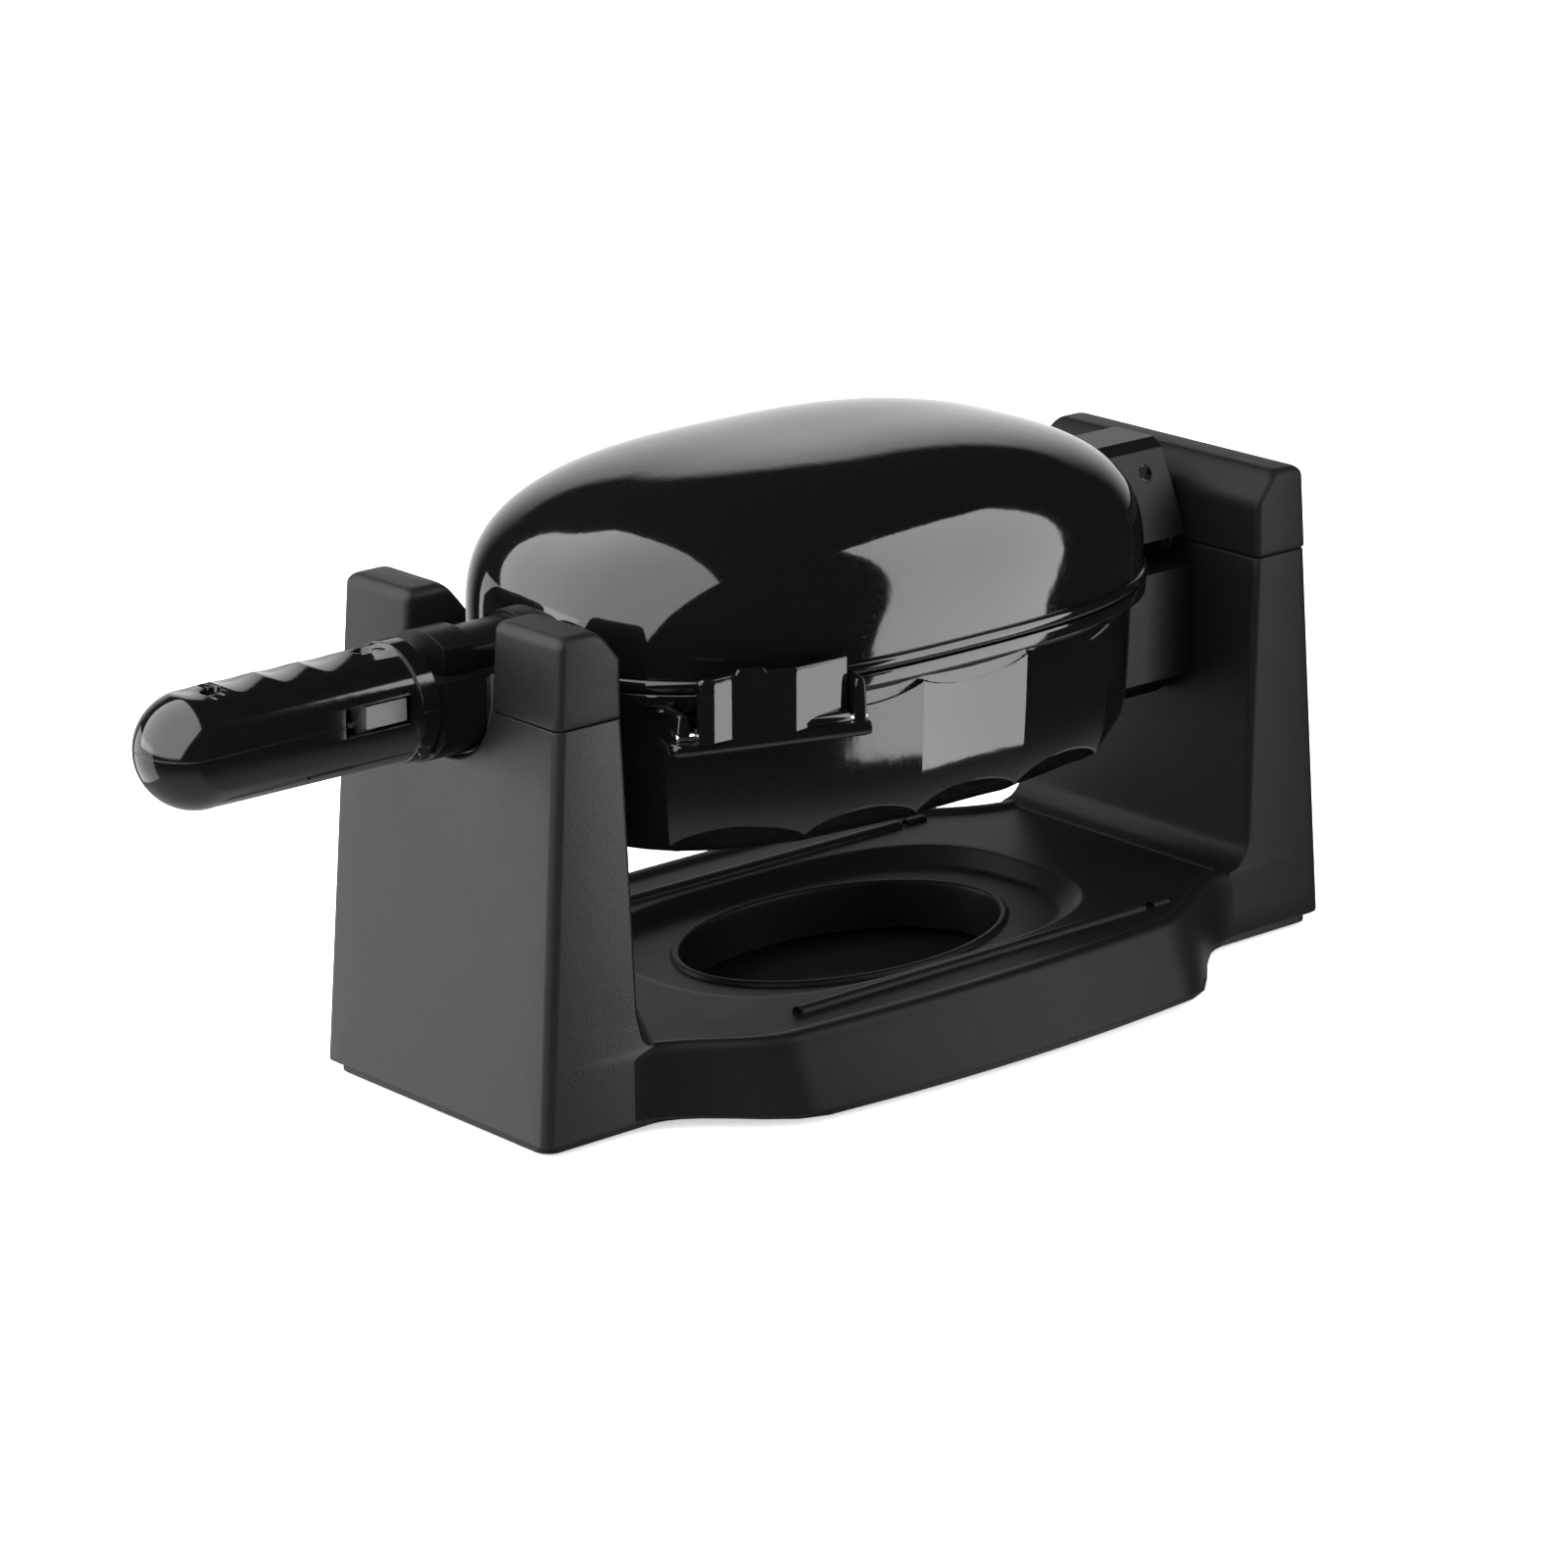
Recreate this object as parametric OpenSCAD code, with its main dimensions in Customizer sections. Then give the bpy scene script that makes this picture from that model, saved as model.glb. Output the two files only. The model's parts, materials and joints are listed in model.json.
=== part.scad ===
// Waffle cone maker that turns over in its stand: a deep oval body with two heated plates,
// carried between two pylons by a neck in a saddle and a hollow shaft in a bearing.
// X runs along the turning axis with the handle at -X, and Z is up. The origin is on the
// table, under the middle of the overall outline.

/* [Body] */
// Length of the oval body over its flange
body_len = 267; // [240:1:320]
// Width of the oval body over its flange
body_w = 171; // [150:1:200]
// Squareness of the oval: 2 is an ellipse, more is squarer
body_n = 2.7; // [2.3:0.1:3.2]
// Height of the lid above the parting plane
lid_h = 63.5; // [52:0.5:74]
// Depth of the lower shell below the parting plane
shell_h = 64; // [54:1:76]
// Squareness of the lid's dome
dome_m = 2.9; // [2.3:0.1:3.4]
// Wall of both shells
shell_wall = 3; // [2.4:0.1:3.6]
// Height of the bright flange round the lid
flange_h = 4.6; // [3:0.1:6]
// Height of the band round the top of the lower shell
band_h = 5; // [4:0.5:7]
// Number of flat flutes round the lower shell
flutes = 14; // [10:2:18]
// How far the middle of a flute lies behind its ridges
flute_d = 2.4; // [1:0.1:3.5]
// Gap between the two shells at the parting plane
part_gap = 0.6; // [0.4:0.1:1]

/* [Plates and heating] */
// Gap between each plate's edge and the shell round it
plate_gap = 1; // [0.6:0.1:2]
// Depth of a cast plate under its grid
plate_t = 6; // [5:0.5:8]
// Pitch of the waffle grid
grid_pitch = 16; // [12:0.5:20]
// Width of a grid rib
rib_w = 3.2; // [2.4:0.2:4.5]
// Height of a grid rib
rib_h = 2.5; // [2:0.5:5]
// Space between the two grids, where the batter spreads
batter_gap = 5; // [4:0.5:7]
// Diameter of the tubular heater
heater_d = 6.6; // [6:0.2:8]
// Distance between the heater's two legs
heater_span = 92; // [70:2:110]
// Depth of the reflector pan
pan_h = 12.5; // [10:0.5:18]
// Diameter of a screw's thread
screw_d = 3.5; // [3:0.5:4.5]

/* [Stand] */
// Width of the base at the pylons
base_w = 125; // [112:1:150]
// Width of the base at its bulge, at the table
bulge_w = 204; // [190:1:230]
// How far the bulge's wall leans in towards its top edge
bulge_lean = 10; // [6:1:12]
// Height of the deck between the pylons
deck_h = 30; // [26:1:36]
// Height of the rounded rim above the deck
deck_rim = 1.8; // [1:0.1:3]
// Wall of the base housing
base_wall = 3; // [2.4:0.1:3.6]
// Thickness of the plate under the base
under_t = 3.5; // [3:0.5:5]
// Gap from the body to the front pylon, on the axis
front_gap = 4.5; // [3:0.5:10]
// Room between the body and the rear pylon, for the hinge
hinge_room = 36; // [34:1:48]
// Front pylon, from its inner face on the axis to its outer foot
front_pylon_t = 39; // [36:1:50]
// Rear pylon, from its inner face on the axis to its outer foot
rear_pylon_t = 37; // [35:1:48]
// Lean of a pylon's outer face over its height
pylon_lean = 12.5; // [8:0.5:15]
// Lean of a pylon's inner face, from the axis down to the deck
pylon_lean_in = 5; // [2:0.5:7]
// Lean of a pylon's end faces over its height
pylon_draft = 3; // [1:0.5:4]
// Height of the pylon tops above the axis
cap_h = 29; // [26:0.5:34]
// Seam of the caps, below the axis
cap_seam = 3; // [2:0.5:6]
// Free space between the turning body's edge and the deck
swing_gap = 26.5; // [12:0.5:50]
// Height of the rubber feet under the base
foot_h = 1.5; // [1:0.5:4]

/* [Neck and shaft] */
// Radius of the neck where it shows
neck_r = 22.6; // [20:0.2:26]
// Radius of the neck's journal in the saddle
journal_r = 20.8; // [18.5:0.1:21.5]
// Width of the neck's flat-sided upper half
neck_top_w = 26; // [22:1:30]
// Width of the neck's flat-sided lower half
neck_low_w = 38; // [34:1:42]
// Height of the seam between the neck's halves above the axis
neck_seam = 9; // [7:0.5:11]
// Outer radius of the hollow shaft
shaft_r = 11; // [9:0.5:13]
// Radius of the hole for the leads along the shaft
lead_r = 6.5; // [4:0.5:7.5]
// Radial clearance of a turning fit
run_gap = 0.06; // [0.03:0.01:0.1]

/* [Lid hinge] */
// Height of the hinge pin above the parting plane
pin_z = 25; // [22:0.5:28]
// Radius of the hinge pin
pin_r = 3; // [2.5:0.5:4]
// Distance of the hinge pin from the end of its box
pin_back = 12; // [10:0.5:14]
// Width of the upper hinge box at its foot
box_w = 56; // [50:1:64]
// Width of the upper hinge box at its top
box_top_w = 28; // [26:1:36]
// Width of the steel hinge arm
arm_w = 12; // [8:1:14]

/* [Handle] */
// Length of the grip
grip_len = 107; // [85:1:130]
// Radius of the grip
grip_r = 20.5; // [18:0.5:23]
// Width of the grip over its flat sides
grip_w = 36; // [32:1:38]
// How far the neck stands out past the front pylon's foot
neck_out = 8.5; // [6:0.5:14]
// Radius of the handle's fold knuckle
fold_r = 6; // [5:0.5:7]
// Radius of the fold pin
fold_pin_r = 2; // [1.5:0.5:3]
// Height of the lock slide
slide_h = 8; // [6:0.5:10]
// Travel of the lock slide
slide_travel = 9; // [6:0.5:12]

/* [Latch] */
// Length of the latch lever along the rim
latch_l = 58; // [44:1:64]
// Height of the latch lever
latch_h = 20; // [16:0.5:24]
// Place of the latch's middle along the body, from its centre
latch_x = -77; // [-84:1:-68]
// How far the latch's ledge stands out past the flange's chord
latch_out = 11; // [9:0.5:14]

/* [Hidden] */
$fn = 48;
e = 0.01;                        // overshoot of a cut past a face
half_a = body_len / 2;
half_b = body_w / 2;
oval_n = 84;                     // points round an oval
touch = 0.05;                    // gap between two faces that touch

// Heights over the table
under_z = foot_h;
seam_z = under_z + under_t;
rim_z = deck_h + deck_rim;
swing_r = half_b + latch_out + 1;
axis_h = deck_h + swing_r + swing_gap;
pylon_h = axis_h + cap_h;
cap_z = axis_h - cap_seam;

// Places along X, from the middle of the body
front_in = -half_a - front_gap;
front_out = front_in - front_pylon_t;
rear_in = half_a + hinge_room;
rear_out = rear_in + rear_pylon_t;
base_cx = (front_out + rear_out) / 2;
base_len = rear_out - front_out;
neck_end = front_out - neck_out;
fold_x = neck_end - 4;
grip_x = neck_end - 0.5;
tip_x = grip_x - grip_len;
x_shift = -(tip_x + rear_out) / 2;
box_end = rear_in - 6;
pin_x = box_end - pin_back;

// A point's distance along the oval's side for half sizes a and b
function oval_y(x, a, b, n) = b * pow(max(0, 1 - pow(abs(x) / a, n)), 1 / n);
function sgn(v) = v < 0 ? -1 : 1;
function oval(a, b, n, count) = [for (i = [0:count - 1]) let (t = 360 * i / count)
    [a * sgn(cos(t)) * pow(abs(cos(t)), 2 / n), b * sgn(sin(t)) * pow(abs(sin(t)), 2 / n)]];
// The oval's points spaced evenly along its edge, starting between two flutes
function even_angle(t) = t + 10 * sin(2 * t) - 1.5 * sin(4 * t);
function even_oval(a, b, n, count) = [for (i = [0:count - 1])
    let (t = even_angle(360 * i / count))
    [a * sgn(cos(t)) * pow(abs(cos(t)), 2 / n), b * sgn(sin(t)) * pow(abs(sin(t)), 2 / n)]];

// One closed skin through rings of equal point count, with flat ends
module skin(rings) {
    n = len(rings[0]);
    m = len(rings);
    points = [for (r = rings) each r];
    sides = [for (k = [0:m - 2], i = [0:n - 1]) let (j = (i + 1) % n) each
        [[k * n + i, (k + 1) * n + i, k * n + j], [k * n + j, (k + 1) * n + i, (k + 1) * n + j]]];
    first = [for (i = [0:n - 1]) i];
    last = [for (i = [0:n - 1]) m * n - 1 - i];
    polyhedron(points = points, faces = concat([first], sides, [last]));
}

// A ring of the lid's outline, drawn in by inset, at height z
function lid_ring(inset, z) = [for (p = oval(half_a - inset, half_b - inset, body_n, oval_n))
    [p[0], p[1], z]];
// The dome's rings from its foot to its flat crown, for a wall drawn in by inset
dome_foot = flange_h + 0.4;
dome_steps = 9;
function dome_ring(k, inset) = let (t = 82 * k / dome_steps, s = pow(cos(t), 2 / dome_m),
    a = half_a - 1.4 - inset, b = half_b - 1.4 - inset)
    [for (p = oval(a * s, b * s, body_n, oval_n))
        [p[0], p[1], dome_foot + (lid_h - dome_foot - inset) * pow(sin(t), 2 / dome_m)]];
function lid_outside(grow) = concat(
    [lid_ring(1.2 - grow, part_gap / 2), lid_ring(-grow, 1), lid_ring(-grow, flange_h - 0.6),
        lid_ring(0.8 - grow, flange_h)],
    [for (k = [0:dome_steps]) dome_ring(k, -grow)]);
function lid_inside() = [for (k = [dome_steps:-1:0]) dome_ring(k, shell_wall)];

// How far a point between two ridges lies along its flute, 0 at a ridge and 1 in its middle
flute_pts = oval_n / flutes;
function bow(i) = let (s = (i % flute_pts) / flute_pts) 4 * s * (1 - s);
// A ring of the lower shell: inset and height, each with a share that follows the flutes
function shell_ring(inset, z, in_bow, z_bow) = let (n = oval_n,
    o = even_oval(half_a - inset, half_b - inset, body_n, n))
    [for (i = [0:n - 1]) let (p = o[i], q = norm(p), k = 1 - in_bow * bow(i) / q)
        [p[0] * k, p[1] * k, z + z_bow * bow(i)]];
function shell_outside(grow) = [
    shell_ring(26 - grow, -shell_h - grow, 0, 0),
    shell_ring(10.5 - grow, 3.5 - shell_h - grow, flute_d, 1.2),
    shell_ring(6.5 - grow, 10 - shell_h, flute_d, 2.6),
    shell_ring(4.6 - grow, -band_h - 7, flute_d, -3.2),
    shell_ring(3.4 - grow, -band_h - 1.4, 0, 0),
    shell_ring(0.6 - grow, -band_h, 0, 0),
    shell_ring(0.6 - grow, -part_gap / 2, 0, 0)];
function shell_inside() = [
    shell_ring(3 + shell_wall, -part_gap / 2, 0, 0),
    shell_ring(11 + shell_wall, 8 - shell_h, 0, 0),
    shell_ring(26, shell_wall - shell_h, 0, 0)];

// Plates: their top faces lie half the batter gap from the parting plane
plate_a = half_a - 7 - shell_wall - plate_gap;
plate_b = half_b - 7 - shell_wall - plate_gap;
grid_z = batter_gap / 2;
plate_top = grid_z + rib_h;
plate_low = plate_top + plate_t;
heater_z = plate_low + heater_d / 2 + touch;
heater_x = plate_a - heater_span / 2 - 24.5;
pan_z = plate_low + touch + max(pan_h, heater_d + 3);
post_r = 5;
stat_r = 9;
stat_h = 9;

// Moves a drawing of the turning parts to the axis, or a drawing of the stand to its place
module turning() translate([x_shift, 0, axis_h]) children();
module standing() translate([x_shift, 0, 0]) children();
module on_base() translate([base_cx, 0, 0]) children();
module front_side() on_base() mirror([1, 0, 0]) children();
module bar_x(x, y, z, r, len) translate([x, y, z]) rotate([0, 90, 0]) cylinder(r = r, h = len);
module bar_y(x, z, r, w) translate([x, w / 2, z]) rotate([90, 0, 0]) cylinder(r = r, h = w);
module post(x, y, z0, z1, r) translate([x, y, z0]) cylinder(r = r, h = z1 - z0);
module block(x0, x1, w, z0, z1) translate([x0, -w / 2, z0]) cube([x1 - x0, w, z1 - z0]);
module prism_x(x0, x1, points) translate([x0, 0, 0]) rotate([90, 0, 90])
    linear_extrude(x1 - x0) polygon(points);
module four(x, y) for (i = [-1, 1], j = [-1, 1]) translate([i * x, j * y, 0]) children();
module oval_plate(a, b, n, z0, z1) translate([0, 0, z0]) linear_extrude(z1 - z0)
    polygon(oval(a, b, n, oval_n));

// ---- Stand ----

// Half width of the base at x from its middle: a bulge that runs out in a double curve
bulge_flat = 0.23 * base_len;
bulge_end = 0.37 * base_len;
function ease(t) = (1 + cos(180 * min(1, max(0, t)))) / 2;
function sag(u) = 0.12 * pow(min(1, u / bulge_flat), 2);
function base_half(x, w) = base_w / 2 - 1.2 + (w - base_w) / 2 * (1 - sag(abs(x)))
    * ease((abs(x) - bulge_flat) / (bulge_end - bulge_flat));
plan_steps = 32;
corner_r = 6;
function base_side(w, inset) = [for (i = [0:plan_steps])
    let (x = -bulge_end * cos(180 * i / plan_steps)) [x, inset - base_half(x, w)]];
function base_end(w, h, inset) = let (y = base_half(h - corner_r, w) - inset - corner_r)
    concat([for (a = [-90:15:0]) [h - corner_r + corner_r * cos(a), corner_r * sin(a) - y]],
        [for (a = [0:15:90]) [h - corner_r + corner_r * cos(a), corner_r * sin(a) + y]]);
// The base's outline at the bulge width w, drawn in by end at both ends and by inset all round
function base_plan(w, end, inset) = let (h = base_len / 2 - end - inset,
    near = base_side(w, inset), tip = base_end(w, h, inset))
    concat(near, tip, [for (p = near) [-p[0], -p[1]]], [for (p = tip) [-p[0], -p[1]]]);
function base_ring(w, end, inset, z) = [for (p = base_plan(w, end, inset)) [p[0], p[1], z]];
function lean_at(z) = pylon_lean * z / pylon_h;
top_w = bulge_w - 2 * bulge_lean;

module base_block(inset, z0, z1) {
    r = min(3, (z1 - z0) / 4);
    skin([base_ring(bulge_w, 1, inset, z0), base_ring(top_w, 1 + lean_at(z1), inset, z1 - r),
        base_ring(top_w, 1 + lean_at(z1), inset + r * 0.3, z1 - r * 0.3),
        base_ring(top_w, 1 + lean_at(z1), inset + r, z1)]);
}

// A flat slab of a pylon between two x at height z, with rounded corners
module slab(x0, x1, half_w, r, z) translate([0, 0, z]) linear_extrude(e)
    translate([x0 + r, r - half_w]) offset(r, $fn = 24)
        square([x1 - x0 - 2 * r, 2 * half_w - 2 * r]);
function outer_x(z) = base_len / 2 - lean_at(z);
function inner_x(t, z) = base_len / 2 - t - pylon_lean_in * (axis_h - z) / (axis_h - deck_h);
function pylon_half(z) = base_w / 2 - pylon_draft * z / pylon_h;

// The lower part of a pylon at +X, of thickness t on the axis, drawn in by w
module pylon(t, w, z0, z1) hull() {
    slab(inner_x(t, z0) + w, outer_x(z0) - w, pylon_half(z0) - w, max(1, 4 - w), z0);
    slab(inner_x(t, z1) + w, outer_x(z1) - w, pylon_half(z1) - w, max(1, 4 - w), z1 - e);
}

// The cap on a pylon: upright to near its top, with a chamfer towards the body
module cap_block(t, w, z0) {
    low = pylon_h - 11;
    top = pylon_h - w;
    hull() {
        slab(inner_x(t, z0) + w, outer_x(z0) - w, pylon_half(z0) - w, max(1, 4 - w), z0);
        slab(inner_x(t, axis_h) + w, outer_x(low) - w, pylon_half(low) - w, max(1, 4 - w), low - w);
        slab(inner_x(t, axis_h) + w + 7, outer_x(top) - w, pylon_half(top) - w, 3, top - 3);
        slab(inner_x(t, axis_h) + w + 9, outer_x(top) - w - 3, pylon_half(top) - w - 3, 2, top - e);
    }
}

notch_r = neck_r + 0.7;
notch_wall = 3;
liner_x0 = front_out + lean_at(axis_h) + 2.4;
liner_x1 = front_in - 2;
// The saddle's through cut, round below the axis and open above it
module notch_cut(r, top) {
    bar_x(front_out - 1, 0, axis_h, r, front_pylon_t + 9);
    block(front_out - 1, front_in + 8, 2 * r, axis_h, top);
}

dish_a = 96;
dish_b = 60;
dish_deep = 6;
well_a = 69;
well_b = 44.5;
rail_y = 66;
rail_l = 168;
bearing_r = shaft_r + 5;
bearing_x0 = rear_in - 1;
bearing_x1 = rear_in + 12;
tray_post_x = 112;
tray_post_y = 52;
tray_roof = deck_h - dish_deep - base_wall - 1;
inlet_z = 22;
inlet_y = 30;
inlet_r = 6;
module dish() skin([
    [for (p = oval(dish_a - dish_deep - 1, dish_b - dish_deep - 1, 3, 48))
        [p[0], p[1], deck_h - dish_deep]],
    [for (p = oval(dish_a, dish_b, 3, 48)) [p[0], p[1], deck_h + 1]]]);

module base_housing() color([0.12, 0.12, 0.13]) standing() {
    difference() {
        union() {
            difference() {
                union() {
                    on_base() base_block(0, seam_z, rim_z);
                    on_base() pylon(rear_pylon_t, 0, seam_z, cap_z);
                    front_side() pylon(front_pylon_t, 0, seam_z, cap_z);
                }
                // hollow of the tray and of both pylons
                on_base() base_block(base_wall + 1, seam_z - 1, tray_roof);
                on_base() pylon(rear_pylon_t, base_wall, seam_z - 1, cap_z + 1);
                front_side() pylon(front_pylon_t, base_wall, seam_z - 1, cap_z + 1);
                // deck, lowered inside its rim between the pylons
                on_base() translate([0, 0, deck_h]) linear_extrude(5) intersection() {
                    polygon(base_plan(top_w, 0, 6));
                    square([2 * (bulge_end - 12), bulge_w], center = true);
                }
                on_base() dish();
                on_base() oval_plate(well_a, well_b, 2, seam_z, deck_h);
            }
            // wall of the saddle inside the front pylon
            intersection() {
                bar_x(front_out - 1, 0, axis_h, notch_r + notch_wall, front_pylon_t + 9);
                front_side() pylon(front_pylon_t, 0.5, deck_h, cap_z);
            }
            // rolled lip of the well, rails on the deck, and posts for the under plate's screws
            on_base() difference() {
                oval_plate(well_a + 3, well_b + 3, 2, tray_roof, deck_h - dish_deep + 1.6);
                oval_plate(well_a, well_b, 2, tray_roof - 1, deck_h);
            }
            on_base() for (s = [-1, 1]) translate([-rail_l / 2, s * rail_y, deck_h - 1.4])
                cube([rail_l, 3, 3]);
            on_base() four(tray_post_x, tray_post_y) post(0, 0, seam_z, tray_roof + 1, 5);
        }
        notch_cut(notch_r, pylon_h + 1);
        bar_x(bearing_x0 - 9, 0, axis_h, bearing_r + touch, 20);
        bar_x(rear_out - 12, inlet_y, inlet_z, inlet_r + touch, 20);
        on_base() four(tray_post_x, tray_post_y) post(0, 0, seam_z - 1, seam_z + 12, screw_d / 2);
    }
}

foot_x = base_len / 2 - 40;
foot_y = base_w / 2 - 18;
module under_plate() color([0.08, 0.08, 0.08]) standing() on_base() difference() {
    translate([0, 0, under_z]) linear_extrude(under_t - touch) polygon(base_plan(bulge_w, 1, 2));
    four(tray_post_x, tray_post_y) {
        post(0, 0, 0, seam_z + 1, screw_d / 2 + 0.1);
        post(0, 0, 0, under_z + 2, screw_d);
    }
    four(foot_x, foot_y) post(0, 0, 0, under_z + 1.5, 9 + touch);
}

module rubber_feet() color([0.05, 0.05, 0.05]) standing() on_base() four(foot_x, foot_y)
    post(0, 0, 0, under_z + 1.5 - touch, 9);

// A pan-head screw standing head down at the origin, with its shank of length len going up
module screw(len, d) {
    difference() {
        cylinder(r = d - 0.1, h = 0.55 * d);
        translate([-d * 0.6, -0.35, -1]) cube([1.2 * d, 0.7, 1.6]);
        translate([-0.35, -d * 0.6, -1]) cube([0.7, 1.2 * d, 1.6]);
    }
    cylinder(r = d / 2 - touch, h = len);
}
module under_screws() color([0.7, 0.7, 0.7]) standing() on_base() four(tray_post_x, tray_post_y)
    translate([0, 0, under_z + 2 - 0.55 * screw_d - touch]) screw(14, screw_d);

module saddle_liner() color([0.1, 0.1, 0.1]) standing() translate([0, 0, axis_h]) {
    r = notch_r - touch;
    len = liner_x1 - liner_x0;
    difference() {
        union() {
            bar_x(liner_x0, 0, 0, r, len);
            block(liner_x0, liner_x1, 2 * r, 0, neck_seam);
        }
        bar_x(liner_x0 - 1, 0, 0, journal_r + run_gap, len + 2);
        block(liner_x0 - 1, liner_x1 + 1, 2 * journal_r, 0, 40);
        block(liner_x0 - 1, liner_x1 + 1, 60, neck_seam, 40);
    }
}

// One of the two caps beside the saddle, on the side that s names
module front_cap(s) standing() difference() {
    front_side() cap_block(front_pylon_t, 0, cap_z + touch);
    difference() {
        front_side() cap_block(front_pylon_t, base_wall, cap_z - 1);
        block(front_out - 1, front_in + 9, 2 * (notch_r + notch_wall), cap_z - 2, pylon_h + 1);
    }
    block(front_out - 1, front_in + 9, 2 * notch_r, cap_z - 2, pylon_h + 1);
    translate([front_out - 1, s > 0 ? -base_w : 0, cap_z - 2]) cube([80, base_w, 50]);
}
module front_cap_near() color([0.12, 0.12, 0.13]) front_cap(-1);
module front_cap_far() color([0.12, 0.12, 0.13]) front_cap(1);

module rear_cap() color([0.12, 0.12, 0.13]) standing() difference() {
    on_base() cap_block(rear_pylon_t, 0, cap_z + touch);
    on_base() cap_block(rear_pylon_t, base_wall, cap_z - 1);
    bar_x(bearing_x0 - 9, 0, axis_h, bearing_r + touch, 20);
}

module shaft_bearing() color([0.1, 0.1, 0.1]) standing() translate([0, 0, axis_h]) difference() {
    union() {
        bar_x(bearing_x0, 0, 0, bearing_r, bearing_x1 - bearing_x0);
        difference() {
            bar_x(rear_in + base_wall + 0.8, 0, 0, bearing_r + 3, 2.5);
            block(rear_in, rear_in + 20, 60, cap_h - 17, 30);
        }
    }
    bar_x(bearing_x0 - 1, 0, 0, shaft_r + run_gap, bearing_x1 - bearing_x0 + 2);
}

module cord_inlet() color([0.05, 0.05, 0.05]) standing() difference() {
    union() {
        bar_x(rear_out - 10, inlet_y, inlet_z, inlet_r, 10);
        bar_x(rear_out - lean_at(inlet_z) + 0.6, inlet_y, inlet_z, inlet_r + 3,
            lean_at(inlet_z) - 0.6);
        bar_x(rear_out - 10, inlet_y, inlet_z, inlet_r + 2, 4.4);
    }
    bar_x(rear_out - 12, inlet_y, inlet_z, inlet_r - 2.2, 14);
}

// ---- Turning body ----

module lower_shell() color([0.05, 0.05, 0.05]) turning() difference() {
    skin(concat(shell_outside(0), shell_inside()));
    bar_x(half_a - 24, 0, -24, 6, 30);
    four(foot_post_x, foot_post_y) post(0, 0, -shell_h - 1, -shell_h + shell_wall + 1,
        screw_d / 2 + 0.1);
}
foot_post_x = 0.774 * (plate_a - 9);
foot_post_y = 0.774 * (plate_b - 9);

// The room inside each shell, drawn in by a touching gap
module shell_room() skin([shell_ring(26 + touch, shell_wall + touch - shell_h, 0, 0),
    shell_ring(11 + shell_wall + touch, 8 - shell_h, 0, 0),
    shell_ring(3 + shell_wall + touch, -part_gap / 2, 0, 0)]);
module lid_room() skin([for (k = [0:dome_steps]) dome_ring(k, shell_wall + touch)]);

module lower_posts() color([0.7, 0.7, 0.72]) turning() difference() {
    intersection() {
        four(foot_post_x, foot_post_y) post(0, 0, -shell_h, -plate_low - touch, post_r);
        shell_room();
    }
    four(foot_post_x, foot_post_y) post(0, 0, -shell_h - 1, 0, screw_d / 2);
}
module lid_posts() color([0.7, 0.7, 0.72]) turning() difference() {
    intersection() {
        four(foot_post_x, foot_post_y) post(0, 0, plate_low + touch, lid_h, post_r);
        lid_room();
    }
    four(foot_post_x, foot_post_y) post(0, 0, 0, plate_low + 16, screw_d / 2);
}

// A cast plate with its waffle grid, drawn for the lid; the lower plate is its mirror image
rim_w = 16;
grid_a = plate_a - rim_w;
grid_b = plate_b - rim_w;
module plate() {
    difference() {
        oval_plate(plate_a, plate_b, body_n, part_gap / 2, plate_low);
        oval_plate(grid_a, grid_b, body_n, 0, plate_top);
        four(foot_post_x, foot_post_y) {
            post(0, 0, 0, plate_low + 1, screw_d / 2 + 0.1);
            post(0, 0, -1, 3, screw_d);
        }
    }
    intersection() {
        oval_plate(grid_a + 1, grid_b + 1, body_n, grid_z, plate_top + 1);
        rotate([0, 0, 45]) union() {
            reach = ceil(grid_a / grid_pitch / 1.2);
            for (i = [-reach:reach]) {
                translate([i * grid_pitch - rib_w / 2, -grid_a, grid_z])
                    cube([rib_w, 2 * grid_a, plate_top]);
                translate([-grid_a, i * grid_pitch - rib_w / 2, grid_z])
                    cube([2 * grid_a, rib_w, plate_top]);
            }
        }
    }
}
module upper_plate() color([0.3, 0.3, 0.31]) turning() plate();
module lower_plate() color([0.3, 0.3, 0.31]) turning() mirror([0, 0, 1]) plate();
module plate_screws() four(foot_post_x, foot_post_y)
    translate([0, 0, 3 - 0.55 * screw_d - touch]) screw(18, screw_d);
module upper_plate_screws() color([0.75, 0.75, 0.75]) turning() plate_screws();
module lower_plate_screws() color([0.75, 0.75, 0.75]) turning() mirror([0, 0, 1]) plate_screws();

// Tubular heater: a racetrack of two legs and two bends, with two terminals that turn away
leg_y = heater_span / 2;
module heater() {
    for (s = [-1, 1]) {
        bar_x(-heater_x, s * leg_y, heater_z, heater_d / 2, 2 * heater_x);
        translate([s * heater_x, 0, heater_z]) intersection() {
            rotate_extrude() translate([leg_y, 0]) circle(r = heater_d / 2);
            translate([s > 0 ? 0 : -60, -60, -10]) cube([60, 120, 20]);
        }
    }
}
module upper_heater() color([0.5, 0.45, 0.4]) turning() heater();
module lower_heater() color([0.5, 0.45, 0.4]) turning() mirror([0, 0, 1]) heater();

pan_a = plate_a - 18;
pan_b = plate_b - 18;
pan_wall = 0.8;
module pan() difference() {
    oval_plate(pan_a, pan_b, body_n, plate_low + touch, pan_z);
    oval_plate(pan_a - pan_wall, pan_b - pan_wall, body_n, 0, pan_z - pan_wall);
}
module upper_pan() color([0.8, 0.8, 0.8]) turning() pan();
module lower_pan() color([0.8, 0.8, 0.8]) turning() mirror([0, 0, 1]) pan();

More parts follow.
